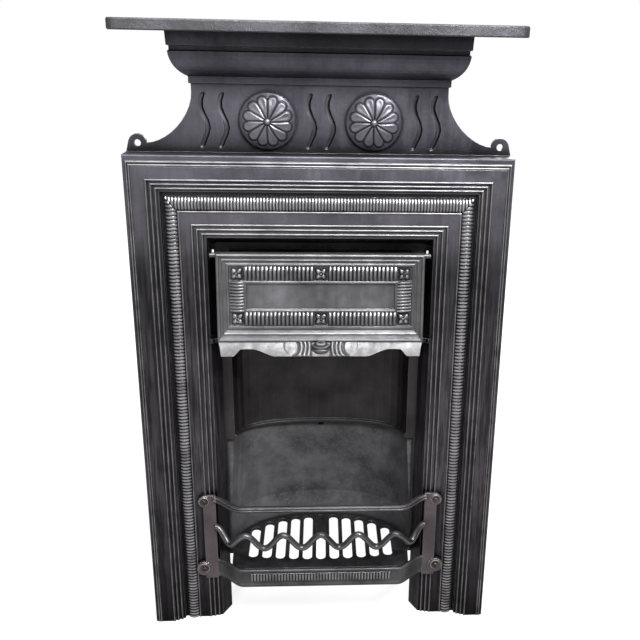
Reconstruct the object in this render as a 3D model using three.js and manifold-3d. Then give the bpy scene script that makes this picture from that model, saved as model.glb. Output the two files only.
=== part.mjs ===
// Small combination fireplace in cast iron: a moulded surround with frieze and cornice, a shelf,
// a hanging hood, a coved fireback with a fire brick, a lift-out grate and bowed front bars.
// Millimetres. X runs to the right, Y to the back and Z up from the floor. While the pieces are made,
// Y = 0 is the face of the surround's outer band; the whole is centred front to back at the end.

import * as THREE from 'three';
import Module from 'manifold-3d';
import { mergeVertices } from 'three/addons/utils/BufferGeometryUtils.js';

const wasm = await Module();
wasm.setup();

// ---- Driving dimensions ----

const FIT = 0.3; // gap between pieces that touch
const SIDES = [-1, 1];

// Surround casting
const SURROUND_WIDTH = 557;
const SHOULDER_HEIGHT = 786;
const SURROUND_DEPTH = 41;
const WALL = 6;
const RETURN_SPLAY = 13;

// Bands of the surround's moulding, from the opening outwards: [on a jamb, on the head]
const EDGE_SETBACK = 15; // how far the opening's edge lies behind the outer band
const INNER_STEPS = 3;
const INNER_STEP_WIDTH = [7, 7];
const INNER_STEP_RISE = 1.4;
const INNER_FLAT_WIDTH = [15.5, 16.5];
const FILLET_WIDTH = [3, 3.5];
const REED_BAND_WIDTH = [17.5, 20.5];
const REED_BAND_BULGE = 4;
const SHADOW_GAP_WIDTH = [5.5, 7.5];
const SHADOW_GAP_DEPTH = 2.7;
const OUTER_STEPS = 3;
const OUTER_STEP_WIDTH = [6.2, 6.3];
const OUTER_STEP_RISE = 2.4;
const OUTER_BAND_WIDTH = [19, 17.5];
const TWIN_BEADS_WIDTH = [6.5, 8.5];
const EDGE_STRIP_WIDTH = [3.9, 7.6];
const BEAD_WIDTH = 2.6;
const BEAD_HEIGHT = 0.8;

// Frieze and its fixing lugs; heights are above the surround's shoulders
const FRIEZE_HEIGHT = 95;
const FRIEZE_SETBACK = 35;
const FRIEZE_NECK_INSET = 96; // in from the surround's side
const FRIEZE_FOOT_INSET = 29.5;
const FRIEZE_NECK_RISE = 82;
const FRIEZE_FOOT_RISE = 12;
const FRIEZE_HOLLOW = 1.7; // power of the hollow side's curve: 2 is a quarter circle
const ROSETTE_RADIUS = 41;
const ROSETTE_HEIGHT = 8;
const ROSETTE_PETALS = 12;
const ROSETTE_SPACING = 152;
const ROSETTE_RISE = 45;
const GOUGE_PAIR_SPACING = 152;
const GOUGE_GAP = 27;
const GOUGE_WIDTH = 7.5;
const GOUGE_DEPTH = 2.6;
const GOUGE_LENGTH = 78;
const GOUGE_SWAY = 5;
const GOUGE_WAVES = 1.2;
const LUG_RADIUS = 13;
const LUG_HOLE_RADIUS = 5;
const LUG_HOLE_INSET = 16.5;
const LUG_HOLE_RISE = 12;

// Cornice and shelf
const CORNICE_FILLET = 3;
const CORNICE_FILLET_HEIGHT = 10;
const CORNICE_PROJECTION = 28;
const CORNICE_OVOLO_HEIGHT = 34;
const CORNICE_OVOLO_BULGE = 5.5;
const CORNICE_NOTCH_HEIGHT = 7.7;
const CORNICE_FASCIA_HEIGHT = 18;
const CORNICE_WALL = 5;
const SHELF_THICKNESS = 15;
const SHELF_INSET = 4.5; // in from the surround's side
const SHELF_OVERHANG = 59; // ahead of the surround's outer band
const SHELF_CORNER_RADIUS = 14;
const SHELF_BEVEL = 1.6;
const SHELF_BOLT_SPACING = 300;

// Hood
const HOOD_SIDE_GAP = 13; // in from the opening's edge
const HOOD_TOP_GAP = 21.5;
const HOOD_HEIGHT = 135;
const HOOD_LEAN = 11; // how far its top lies behind its bottom
const HOOD_PLATE = 5;
const HOOD_MOULDING_WIDTH = { side: 19, top: 20, bottom: 25 };
const HOOD_MOULDING_RISE = 7;
const HOOD_FLUTE_BAND = { side: 20.5, top: 21.5, bottom: 20.5 };
const HOOD_FLUTE_PITCH = { side: 4.8, top: 6.2 };
const HOOD_FLUTE_DEPTH = 1.8;
const HOOD_BAND_BULGE = 2;
const HOOD_FILLET = 5.5;
const APRON_FLARE = 17;
const APRON_DROP = 16;
const APRON_SCALLOP = 6.4;
const APRON_SIDE_TAPER = 6;
const APRON_THICKNESS = 4;
const APRON_BALL_WIDTH = 27;
const TRUNNION_RADIUS = 4;
const TRUNNION_DROP = 7; // below the hood's top
const TRUNNION_SETBACK = 24;
const TRUNNION_LENGTH = 14;
const SLOT_HEADROOM = 12;

// Fireback, brick and grate; overlaps and gaps are measured from the opening's edge
const FLANGE = 6;
const FLANGE_SIDE_LAP = 34;
const FLANGE_TOP_LAP = 11.5;
const FLANGE_SLIT = { inner: 7, outer: 3.5, below: 10, above: 4 };
const THROAT_TOP_GAP = 22.5;
const THROAT_DEPTH = 42;
const BACK_SIDE_GAP = 28;
const BACK_DEPTH = 62;
const BACK_WALL = 5;
const BEAD_ROLL = 4;
const BRICK_TOP_HEIGHT = 322;
const BRICK_BREAK_HEIGHT = 160;
const BRICK_THICKNESS = 16;
const HEARTH_SIDE_GAP = 16;
const HEARTH_DEPTH = 113;
const HEARTH_HEIGHT = 109;
const LEDGE_THICKNESS = 4;
const LEDGE_WIDTH = 5;
const BRICK_NOTCH = 8;
const BRICK_SIDE_SHARE = 0.2; // how much its cheeks lean in, against its middle
const REAR_LUG_DROP = 35;
const FOOT_INSET = 14; // in from the hearth's cheek
const FOOT_WIDTH = 16;
const GRATE_THICKNESS = 6;
const GRATE_PLAY = 3;
const SLOT_COUNT = 11;
const SLOT_PITCH = 22.8;
const SLOT_WIDTH = 16;
const SLOT_RIM = 11;

// Front bars
const BARS_PROJECTION = 28;
const BARS_SWEEP = 41; // from the opening's edge in to where the bars run straight
const BARS_END_SETBACK = 5;
const TOP_BAR_HEIGHT = 230;
const TOP_BAR_SIZE = 9.5;
const TOP_BAR_END_RISE = 3;
const WAVE_BAR_HEIGHT = 169.5;
const WAVE_BAR_SIZE = 9;
const WAVE_SWING = 12;
const WAVE_COUNT = 6;
const RAIL_BOTTOM_HEIGHT = 86;
const RAIL_HEIGHT = 32.5;
const RAIL_WALL = 5;
const RAIL_LIP = 6;
const RAIL_LEDGE = 12;
const RAIL_FLUTE_INSET = 12; // in from where the bars sweep back
const RAIL_FLUTE_PITCH = 4.9;
const RAIL_FLUTE_RISE = 10.6;
const RAIL_FLUTE_HEIGHT = 14;
const RAIL_FLUTE_DEPTH = 1.4;
const GRATE_FRONT_GAP = 5; // behind the rail
const BRACKET_WIDTH = 20;
const BRACKET_THICKNESS = 5;
const BRACKET_INSET = 3; // from the opening's edge onto the jamb
const BRACKET_DROP = 3; // below the rail
const BRACKET_HEAD = 9; // above the top bar
const TOP_LOBE_RADIUS = 10;
const TOP_LOBE_DROP = 2; // below the top bar
const TOP_LOBE_OFFSET = 21; // from the opening's edge
const BOTTOM_LOBE_RADIUS = 13;
const BOTTOM_LOBE_RISE = 15; // above the rail's bottom
const BOTTOM_LOBE_OFFSET = 25.5;

// Fasteners
const BAR_SCREW_RADIUS = 2.5;
const BAR_SCREW_HEAD = 4.6;
const BAR_NUT_THICKNESS = 4;
const BAR_NUT_WIDTH = 9;
const BOLT_RADIUS = 4;
const BOLT_HEAD_WIDTH = 13;
const BOLT_HEAD_THICKNESS = 5.5;
const BOLT_OVERHANG = 4; // thread left over past the nut
const FIREBACK_BOLT_OFFSET = 22; // out from the opening's edge
const FIREBACK_BOLT_RISE = 160;
const FIREBACK_BOLT_DROP = 64.5; // below the opening's top

// ---- Derived places ----

// Places across the moulding, each as [distance out from the opening on a jamb, on the head].
const past = (start, width, share = 1) => start.map((t, k) => t + share * width[k]);
const innerFlatStart = INNER_STEP_WIDTH.map((width) => INNER_STEPS * width);
const filletStart = past(innerFlatStart, INNER_FLAT_WIDTH);
const reedBandStart = past(filletStart, FILLET_WIDTH);
const reedBandEnd = past(reedBandStart, REED_BAND_WIDTH);
const outerStepsStart = past(reedBandEnd, SHADOW_GAP_WIDTH);
const outerBandStart = past(outerStepsStart, OUTER_STEP_WIDTH, OUTER_STEPS);
const twinBeadsStart = past(outerBandStart, OUTER_BAND_WIDTH);
const edgeStripStart = past(twinBeadsStart, TWIN_BEADS_WIDTH);
const [jambWidth, headHeight] = past(edgeStripStart, EDGE_STRIP_WIDTH);
const innerFlatDepth = EDGE_SETBACK - INNER_STEPS * INNER_STEP_RISE;
const reedDepth = innerFlatDepth + 1.2;
const shadowDepth = innerFlatDepth + SHADOW_GAP_DEPTH;

const surroundHalf = SURROUND_WIDTH / 2;
const openingHalf = surroundHalf - jambWidth;
const openingTop = SHOULDER_HEIGHT - headHeight;
const friezeNeck = surroundHalf - FRIEZE_NECK_INSET;
const rosetteHeight = SHOULDER_HEIGHT + ROSETTE_RISE;
const lugHole = { x: surroundHalf - LUG_HOLE_INSET, z: SHOULDER_HEIGHT + LUG_HOLE_RISE };
const corniceFoot = SHOULDER_HEIGHT + FRIEZE_HEIGHT;
const ovoloFoot = corniceFoot + CORNICE_FILLET_HEIGHT;
const fasciaFoot = ovoloFoot + CORNICE_OVOLO_HEIGHT + CORNICE_NOTCH_HEIGHT;
const corniceTop = fasciaFoot + CORNICE_FASCIA_HEIGHT;
const shelfBottom = corniceTop + FIT;
const shelfTop = shelfBottom + SHELF_THICKNESS;
const flangeFront = SURROUND_DEPTH + FIT;
const flangeBack = flangeFront + FLANGE;
const firebackBoltX = openingHalf + FIREBACK_BOLT_OFFSET;
const FIREBACK_BOLTS = { lower: FIREBACK_BOLT_RISE, upper: openingTop - FIREBACK_BOLT_DROP };
const hoodHalf = openingHalf - HOOD_SIDE_GAP;
const hoodTop = openingTop - HOOD_TOP_GAP;
const hoodBottom = hoodTop - HOOD_HEIGHT;
const trunnionHeight = hoodTop - TRUNNION_DROP;
const barsStraight = openingHalf - BARS_SWEEP;
const bracketBack = innerFlatDepth - BEAD_HEIGHT - FIT;
const bracketFront = bracketBack - BRACKET_THICKNESS;
const LOBES = {
  top: { offset: TOP_LOBE_OFFSET, height: TOP_BAR_HEIGHT - TOP_LOBE_DROP, radius: TOP_LOBE_RADIUS },
  bottom: {
    offset: BOTTOM_LOBE_OFFSET,
    height: RAIL_BOTTOM_HEIGHT + BOTTOM_LOBE_RISE,
    radius: BOTTOM_LOBE_RADIUS,
  },
};

// ---- Materials ----

function iron(colour, roughness) {
  return new THREE.MeshStandardMaterial({ color: colour, roughness, metalness: 0.6, flatShading: true });
}

const BLACKED_IRON = iron(0x2b2a2d, 0.5);
const HOOD_IRON = iron(0x343337, 0.42);
const GRATE_IRON = iron(0x262527, 0.65);
const BAR_IRON = iron(0x332e30, 0.5);
const SCREW_STEEL = iron(0x3a3536, 0.45);
const SOOTED_CLAY = new THREE.MeshStandardMaterial({ color: 0x2c2b2c, roughness: 0.95, metalness: 0 });

// ---- Solids ----

// A closed triangle mesh as a solid that can be joined and cut.
function solid(geometry) {
  const bare = geometry.clone();
  bare.deleteAttribute('normal');
  bare.deleteAttribute('uv');
  const merged = mergeVertices(bare, 1e-4);
  const index = merged.index.array;
  return new wasm.Manifold(new wasm.Mesh({
    numProp: 3,
    vertProperties: new Float32Array(merged.attributes.position.array),
    triVerts: new Uint32Array(index),
  }));
}

function join(solids) {
  return solids.reduce((sum, next) => sum.add(next));
}

function cut(body, tools) {
  return tools.reduce((rest, tool) => rest.subtract(tool), body);
}

// Box from its lowest to its highest corner.
function box(x0, y0, z0, x1, y1, z1) {
  const geometry = new THREE.BoxGeometry(x1 - x0, y1 - y0, z1 - z0);
  return solid(geometry.translate((x0 + x1) / 2, (y0 + y1) / 2, (z0 + z1) / 2));
}

// Cylinder along Y from y0 to y1; with four sides it is a square head or nut.
function rodY(radius, x, z, y0, y1, sides = 16) {
  const geometry = new THREE.CylinderGeometry(radius, radius, y1 - y0, sides, 1, false, Math.PI / sides);
  return solid(geometry.translate(x, (y0 + y1) / 2, z));
}

function rodX(radius, y, z, x0, x1, sides = 16) {
  const geometry = new THREE.CylinderGeometry(radius, radius, Math.abs(x1 - x0), sides);
  return solid(geometry.rotateZ(Math.PI / 2).translate((x0 + x1) / 2, y, z));
}

function rodZ(radius, x, y, z0, z1, sides = 16) {
  const geometry = new THREE.CylinderGeometry(radius, radius, z1 - z0, sides);
  return solid(geometry.rotateX(Math.PI / 2).translate(x, y, (z0 + z1) / 2));
}

// Outline drawn in X and Z, as thick as y0 to y1.
function slab(points, y0, y1) {
  return loft([y0, y1].map((y) => points.map(([x, z]) => new THREE.Vector3(x, y, z))));
}

// Outline drawn in X and Y, standing from z0 to z1.
function plate(points, z0, z1) {
  return loft([z0, z1].map((z) => points.map(([x, y]) => new THREE.Vector3(x, y, z))));
}

// Outline drawn in Y and Z, as long as x0 to x1.
function bar(points, x0, x1) {
  return loft([x0, x1].map((x) => points.map(([y, z]) => new THREE.Vector3(x, y, z))));
}

// Twice the area of the triangle a, b, c; positive when it turns to the left.
function turnOf(a, b, c) {
  return (b.x - a.x) * (c.y - a.y) - (b.y - a.y) * (c.x - a.x);
}

// Ring of points in space laid flat along its widest direction, as seen from its front.
function laidFlat(ring) {
  const normal = new THREE.Vector3();
  ring.forEach((p, i) => normal.add(new THREE.Vector3().crossVectors(p, ring[(i + 1) % ring.length])));
  const size = normal.toArray().map(Math.abs);
  const drop = size.indexOf(Math.max(...size));
  const sign = Math.sign(normal.toArray()[drop]);
  return ring.map(({ x, y, z }) => {
    const [across, up] = [[y, z], [z, x], [x, y]][drop];
    return new THREE.Vector2(sign * across, up);
  });
}

// Triangles that close a ring of points. Every point is kept, so the rim matches the wall beside it.
function capTriangles(ring) {
  const flat = laidFlat(ring);
  const left = ring.map((_, i) => i);
  const triangles = [];
  const covers = ([a, b, c]) => left.some((i) => (
    i !== a && i !== b && i !== c
    && turnOf(flat[a], flat[b], flat[i]) >= 0
    && turnOf(flat[b], flat[c], flat[i]) >= 0
    && turnOf(flat[c], flat[a], flat[i]) >= 0
  ));
  while (left.length > 3) {
    const ears = left
      .map((b, i) => [left[(i + left.length - 1) % left.length], b, left[(i + 1) % left.length]])
      .filter(([a, b, c]) => turnOf(flat[a], flat[b], flat[c]) > 1e-9)
      .sort((one, two) => flat[one[0]].distanceTo(flat[one[2]]) - flat[two[0]].distanceTo(flat[two[2]]));
    const ear = ears.find((corner) => !covers(corner));
    if (!ear) throw new Error('An outline crosses itself');
    triangles.push(ear);
    left.splice(left.indexOf(ear[1]), 1);
  }
  return [...triangles, left];
}

function volumeOf(points, triangles) {
  return triangles.reduce((sum, [a, b, c]) => (
    sum + points[a].dot(new THREE.Vector3().crossVectors(points[b], points[c])) / 6
  ), 0);
}

// Solid through a row of closed rings with equal counts; a looped row meets its own start.
function loft(rings, looped = false) {
  const points = rings.flat();
  const count = rings[0].length;
  const triangles = [];
  const spans = looped ? rings.length : rings.length - 1;
  for (let i = 0; i < spans; i += 1) {
    const here = i * count;
    const there = ((i + 1) % rings.length) * count;
    for (let j = 0; j < count; j += 1) {
      const k = (j + 1) % count;
      triangles.push([here + j, here + k, there + k], [here + j, there + k, there + j]);
    }
  }
  if (!looped) {
    const last = (rings.length - 1) * count;
    capTriangles(rings[0]).forEach(([a, b, c]) => triangles.push([a, c, b]));
    capTriangles(rings[rings.length - 1]).forEach(([a, b, c]) => {
      triangles.push([last + a, last + b, last + c]);
    });
  }
  const outward = volumeOf(points, triangles) > 0;
  const geometry = new THREE.BufferGeometry().setFromPoints(points);
  geometry.setIndex(triangles.flatMap(([a, b, c]) => (outward ? [a, b, c] : [a, c, b])));
  return solid(geometry);
}

// Points of an arc about (cx, cy), from one angle to another in degrees.
function arc(cx, cy, radius, from, to, steps) {
  return Array.from({ length: steps + 1 }, (_, i) => {
    const angle = THREE.MathUtils.degToRad(from + ((to - from) * i) / steps);
    return [cx + radius * Math.cos(angle), cy + radius * Math.sin(angle)];
  });
}

// Points from one place to another, bulging to the right of the way there.
function bowed([x0, y0], [x1, y1], bulge, steps) {
  const length = Math.hypot(x1 - x0, y1 - y0);
  return Array.from({ length: steps + 1 }, (_, i) => {
    const s = i / steps;
    const out = (4 * bulge * s * (1 - s)) / length;
    return [x0 + (x1 - x0) * s + out * (y1 - y0), y0 + (y1 - y0) * s - out * (x1 - x0)];
  });
}

// ---- Surround ----

// Steps rising towards the front, each with a rounded bead on the edge of the next.
function beadedSteps(start, depth, count, width, rise) {
  return Array.from({ length: count }, (_, i) => {
    const floor = depth - i * rise;
    const next = floor - rise;
    const end = past(start, width, i + 1);
    const back = (share) => end.map((t) => t - share * BEAD_WIDTH);
    return [
      [back(1), floor],
      [back(0.85), next - 0.4 * BEAD_HEIGHT],
      [back(0.5), next - BEAD_HEIGHT],
      [back(0.15), next - 0.4 * BEAD_HEIGHT],
      [back(-0.1), next],
    ];
  }).flat();
}

// Two beads with a groove between them.
function twinBeads() {
  const profile = [
    [0, 0.6], [0.1, -0.3], [0.24, -1], [0.38, -0.3], [0.5, 1.2], [0.62, -0.3], [0.76, -1], [0.9, -0.3], [1, 0.8],
  ];
  return profile.map(([share, rise]) => [past(twinBeadsStart, TWIN_BEADS_WIDTH, share), rise * BEAD_HEIGHT]);
}

// Section of the moulding: [distance out on a jamb, depth, distance out on the head].
function surroundSection() {
  const outerStepDepth = OUTER_STEPS * OUTER_STEP_RISE;
  const reeds = bowed([0, reedDepth], [1, reedDepth], REED_BAND_BULGE, 6);
  const inwards = (place, distance) => place.map((t) => t - distance);
  const edge = [jambWidth, headHeight];
  const points = [
    [[0, 0], EDGE_SETBACK],
    ...beadedSteps([0, 0], EDGE_SETBACK, INNER_STEPS, INNER_STEP_WIDTH, INNER_STEP_RISE),
    [filletStart, innerFlatDepth],
    [past(filletStart, FILLET_WIDTH, 0.2), innerFlatDepth - 0.6 * BEAD_HEIGHT],
    [past(filletStart, FILLET_WIDTH, 0.5), innerFlatDepth - BEAD_HEIGHT],
    [past(filletStart, FILLET_WIDTH, 0.8), innerFlatDepth - 0.6 * BEAD_HEIGHT],
    ...reeds.map(([share, y]) => [past(reedBandStart, REED_BAND_WIDTH, share), y]),
    [past(reedBandEnd, SHADOW_GAP_WIDTH, 0.1), shadowDepth],
    [past(reedBandEnd, SHADOW_GAP_WIDTH, 0.9), shadowDepth],
    [outerStepsStart, outerStepDepth],
    ...beadedSteps(outerStepsStart, outerStepDepth, OUTER_STEPS, OUTER_STEP_WIDTH, OUTER_STEP_RISE),
    [inwards(twinBeadsStart, 0.3), 0],
    ...twinBeads(),
    [inwards(edge, 1.5), 0.6],
    [edge, 2],
    [edge, SURROUND_DEPTH],
    [inwards(edge, WALL), SURROUND_DEPTH],
    [inwards(edge, WALL), WALL],
    [outerBandStart, WALL],
    [past(outerStepsStart, OUTER_STEP_WIDTH), outerStepDepth + WALL],
    [outerStepsStart, shadowDepth + WALL],
    [reedBandStart, shadowDepth + WALL],
    [inwards(filletStart, 3), innerFlatDepth + WALL],
    ...[
      [TOP_LOBE_OFFSET - BAR_NUT_WIDTH / 2 - 2, innerFlatDepth + WALL],
      [WALL + 1, EDGE_SETBACK + WALL],
      [WALL - RETURN_SPLAY, SURROUND_DEPTH],
      [-RETURN_SPLAY, SURROUND_DEPTH],
    ].map(([t, y]) => [[t, t], y]),
  ];
  return points.map(([[jamb, head], y]) => [jamb, y, head]);
}

// The moulding runs up one jamb, across the head and down the other, mitred at the corners.
function mouldedFrame() {
  const section = surroundSection();
  const station = (side, height) => section.map(([t, y, head]) => (
    new THREE.Vector3(side * (openingHalf + t), y, height === 0 ? 0 : openingTop + head)
  ));
  return loft([station(-1, 0), station(-1, 1), station(1, 1), station(1, 0)]);
}

// Hollow sides from the wide foot up to the neck, then straight up behind the cornice.
function friezeOutline() {
  const foot = surroundHalf - FRIEZE_FOOT_INSET;
  const spread = foot - friezeNeck;
  const neckHeight = SHOULDER_HEIGHT + FRIEZE_NECK_RISE;
  const rise = FRIEZE_NECK_RISE - FRIEZE_FOOT_RISE;
  const power = 2 / FRIEZE_HOLLOW;
  const side = arc(0, 0, 1, 0, 90, 10).map(([c, s]) => [
    foot - spread * Math.abs(c) ** power,
    neckHeight - rise * Math.abs(s) ** power,
  ]);
  const right = [...side, [foot, SHOULDER_HEIGHT - WALL]];
  const top = corniceFoot + WALL;
  const left = right.map(([x, z]) => [-x, z]).reverse();
  return [...left, [-friezeNeck, top], [friezeNeck, top], ...right];
}

// Waving groove of constant width with round ends, as an outline in X and Z.
function gougeOutline(x) {
  const steps = 12;
  const line = Array.from({ length: steps + 1 }, (_, i) => {
    const s = (1 - Math.cos((Math.PI * i) / steps)) / 2;
    const round = Math.min(1, Math.max(0.35, 6 * Math.sqrt(s * (1 - s))));
    const sway = GOUGE_SWAY * Math.sin(2 * Math.PI * GOUGE_WAVES * s);
    return [x - sway, rosetteHeight + (0.5 - s) * GOUGE_LENGTH, (round * GOUGE_WIDTH) / 2];
  });
  const left = line.map(([px, pz, half]) => [px - half, pz]);
  const right = line.map(([px, pz, half]) => [px + half, pz]).reverse();
  return [...left, ...right];
}

// Dome with round-tipped petals about a small button.
function rosette(x) {
  const steps = ROSETTE_PETALS * 3;
  const level = (r) => ROSETTE_HEIGHT * (1 - r ** 2.2);
  const petal = (r, angle) => {
    const across = Math.abs(Math.sin((ROSETTE_PETALS * angle) / 2));
    const along = r > 0.13 && r < 0.9 ? 1 : 0;
    return along * (1.8 * across - 0.8);
  };
  const ring = (r, lift) => Array.from({ length: steps }, (_, i) => {
    const angle = (2 * Math.PI * i) / steps;
    const radius = ROSETTE_RADIUS * r;
    return new THREE.Vector3(
      x + radius * Math.cos(angle),
      FRIEZE_SETBACK - (lift ?? 1.2 + level(r) + petal(r, angle)),
      rosetteHeight + radius * Math.sin(angle),
    );
  });
  return loft([
    ring(1, -1),
    ring(1, 1.8),
    ring(0.86),
    ring(0.6),
    ring(0.28),
    ring(0.15),
    ring(0.11, ROSETTE_HEIGHT + 3),
    ring(0.05, ROSETTE_HEIGHT + 4.5),
  ]);
}

// Half of the cornice's outline: [projection past the neck, height], from its foot to its top.
function corniceProfile(inset) {
  const ovoloTop = ovoloFoot + CORNICE_OVOLO_HEIGHT;
  return [
    [0, corniceFoot - inset],
    [CORNICE_FILLET, corniceFoot + 1],
    ...bowed([CORNICE_FILLET, ovoloFoot], [CORNICE_PROJECTION - 2, ovoloTop], CORNICE_OVOLO_BULGE, 8),
    [CORNICE_PROJECTION - 4, ovoloTop + 1.5],
    [CORNICE_PROJECTION - 4, fasciaFoot - 1],
    [CORNICE_PROJECTION - 1, fasciaFoot],
    [CORNICE_PROJECTION, corniceTop - inset],
  ].map(([p, z]) => [p - inset, z]);
}

// The profile as seen from the front crossed with the profile seen from the side gives mitred returns.
function corniceMass(inset, back) {
  const profile = corniceProfile(inset);
  const reach = friezeNeck + CORNICE_PROJECTION + WALL;
  const along = bar([
    ...profile.map(([p, z]) => [FRIEZE_SETBACK - p, z]),
    [back, corniceTop - inset],
    [back, corniceFoot - inset],
  ], -reach, reach);
  const right = profile.map(([p, z]) => [friezeNeck + p, z]);
  const left = right.map(([x, z]) => [-x, z]).reverse();
  return along.intersect(slab([...left, ...right], -reach, back));
}

function cornice() {
  return corniceMass(0, SURROUND_DEPTH).subtract(corniceMass(CORNICE_WALL, SURROUND_DEPTH + WALL));
}

// Triangular ear with a round top about its hole.
function fixingLug(side) {
  const crown = arc(lugHole.x, lugHole.z, LUG_RADIUS, 15, 180, 8);
  const outline = [
    [surroundHalf, SHOULDER_HEIGHT - WALL],
    [surroundHalf, SHOULDER_HEIGHT],
    ...crown,
    [lugHole.x - LUG_RADIUS, SHOULDER_HEIGHT - WALL],
  ];
  return slab(outline.map(([x, z]) => [side * x, z]), FRIEZE_SETBACK, SURROUND_DEPTH);
}

// Open-backed slot in a splayed return, in which the hood's trunnion hangs.
function trunnionSlot(side) {
  const bottom = trunnionHeight - TRUNNION_RADIUS - FIT;
  const inner = side * (openingHalf - RETURN_SPLAY - 1);
  const outer = side * (hoodHalf + TRUNNION_LENGTH + 1);
  return box(
    Math.min(inner, outer),
    TRUNNION_SETBACK - TRUNNION_RADIUS - FIT,
    bottom,
    Math.max(inner, outer),
    SURROUND_DEPTH + 1,
    bottom + 2 * TRUNNION_RADIUS + SLOT_HEADROOM,
  );
}

// Where the hood's plate lies at a height above its bottom edge.
function hoodDepth(height) {
  return (HOOD_LEAN * height) / HOOD_HEIGHT;
}

// Small horn on each return that the hood's lower corner rests against.
function hoodHorn(side) {
  const z = hoodBottom - 4;
  const face = hoodDepth(0) + HOOD_PLATE + FIT;
  const outline = [
    [hoodHalf - 6, face],
    [hoodHalf + 5, face],
    [hoodHalf + 9, face - 5],
    [openingHalf, face - 3],
    [openingHalf - 1, EDGE_SETBACK + 6],
    [openingHalf - 5, EDGE_SETBACK + 8],
    [hoodHalf - 6, face + 5],
  ];
  return plate(outline.map(([x, y]) => [side * x, y]), z, z + 7);
}

// Lug behind the front plate that a fireback bolt passes through.
function firebackLug(side, height) {
  const inner = openingHalf - RETURN_SPLAY + 3;
  const outer = firebackBoltX + BOLT_HEAD_WIDTH;
  const half = BOLT_HEAD_WIDTH;
  const lug = slab([
    [side * inner, height - half],
    [side * outer, height - half],
    [side * outer, height + half],
    [side * inner, height + half],
  ], SURROUND_DEPTH - WALL, SURROUND_DEPTH);
  const hole = rodY(
    BOLT_RADIUS + FIT,
    side * firebackBoltX,
    height,
    SURROUND_DEPTH - WALL - 1,
    SURROUND_DEPTH + 1,
  );
  return lug.subtract(hole);
}

function surround() {
  const frieze = slab(friezeOutline(), FRIEZE_SETBACK, SURROUND_DEPTH);
  const gouges = [-1, 0, 1].flatMap((pair) => [-0.5, 0.5].map((part) => {
    const outline = gougeOutline(pair * GOUGE_PAIR_SPACING + part * GOUGE_GAP);
    return slab(outline, FRIEZE_SETBACK - 1, FRIEZE_SETBACK + GOUGE_DEPTH);
  }));
  const body = join([
    mouldedFrame(),
    cut(frieze, gouges),
    cornice(),
    ...SIDES.map((side) => rosette((side * ROSETTE_SPACING) / 2)),
    ...SIDES.map(fixingLug),
    ...SIDES.map(hoodHorn),
    ...SIDES.flatMap((side) => Object.values(FIREBACK_BOLTS).map((z) => firebackLug(side, z))),
  ]);
  const lugHoles = SIDES.map((side) => (
    rodY(LUG_HOLE_RADIUS, side * lugHole.x, lugHole.z, 0, SURROUND_DEPTH + 1)
  ));
  const barHoles = SIDES.flatMap((side) => Object.values(LOBES).map((lobe) => (
    rodY(BAR_SCREW_RADIUS + FIT, side * (openingHalf + lobe.offset), lobe.height, 0, SURROUND_DEPTH - WALL, 12)
  )));
  const shelfHoles = SIDES.map((side) => rodZ(
    BOLT_RADIUS + FIT,
    (side * SHELF_BOLT_SPACING) / 2,
    shelfBoltDepth,
    corniceTop - CORNICE_WALL - 1,
    corniceTop + 1,
  ));
  return cut(body, [...SIDES.map(trunnionSlot), ...lugHoles, ...barHoles, ...shelfHoles]);
}

// ---- Shelf ----

const shelfBoltDepth = (FRIEZE_SETBACK - CORNICE_PROJECTION + SURROUND_DEPTH) / 2;
const shelfBoltTop = shelfTop - WALL;

// Flat edge with a bevel above and below: rings of the plan outline, drawn in at both faces.
function mantelShelf() {
  const half = surroundHalf - SHELF_INSET;
  const outline = (inset, z) => {
    const x = half - inset;
    const front = inset - SHELF_OVERHANG;
    const r = SHELF_CORNER_RADIUS - inset;
    const corner = arc(x - r, front + r, r, 0, -90, 5);
    const left = corner.map(([px, py]) => [-px, py]).reverse();
    return [[x, SURROUND_DEPTH], ...corner, ...left, [-x, SURROUND_DEPTH]]
      .map(([px, py]) => new THREE.Vector3(px, py, z));
  };
  const rings = [
    outline(SHELF_BEVEL, shelfBottom),
    outline(0, shelfBottom + SHELF_BEVEL),
    outline(0, shelfTop - SHELF_BEVEL),
    outline(SHELF_BEVEL, shelfTop),
  ];
  const bores = SIDES.map((side) => rodZ(
    BOLT_RADIUS + FIT,
    (side * SHELF_BOLT_SPACING) / 2,
    shelfBoltDepth,
    shelfBottom - 1,
    shelfBoltTop + FIT,
  ));
  return cut(loft(rings), bores);
}

function shelfBolt(side) {
  const x = (side * SHELF_BOLT_SPACING) / 2;
  const seat = corniceTop - CORNICE_WALL - FIT;
  return join([
    rodZ(BOLT_HEAD_WIDTH / Math.sqrt(3), x, shelfBoltDepth, seat - BOLT_HEAD_THICKNESS, seat, 6),
    rodZ(BOLT_RADIUS, x, shelfBoltDepth, seat - 0.5, shelfBoltTop),
  ]);
}

// ---- Hood ----

// Zigzag ridges across a band: outline in X and Y, ridges towards the front.
function ridgeOutline(from, to, pitch, depth, back) {
  const count = Math.max(1, Math.round((to - from) / pitch));
  const step = (to - from) / count;
  const teeth = Array.from({ length: count }, (_, i) => [
    [from + i * step, 0],
    [from + (i + 0.3) * step, -depth],
    [from + (i + 0.7) * step, -depth],
  ]).flat();
  return [...teeth, [to, 0], [to, back], [from, back]];
}

// Closed frame round the hood's plate: section of [distance in from the plate's edge, depth],
// mitred at the corners, with the distances scaled to each side's own width.
function hoodFrame(section, inner) {
  const corners = [[-1, 'bottom'], [1, 'bottom'], [1, 'top'], [-1, 'top']];
  return loft(corners.map(([side, end]) => section.map(([share, y]) => {
    const x = side * (hoodHalf - inner(share, 'side'));
    const rise = inner(share, end);
    return new THREE.Vector3(x, y, end === 'top' ? HOOD_HEIGHT - rise : rise);
  })), true);
}

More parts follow.
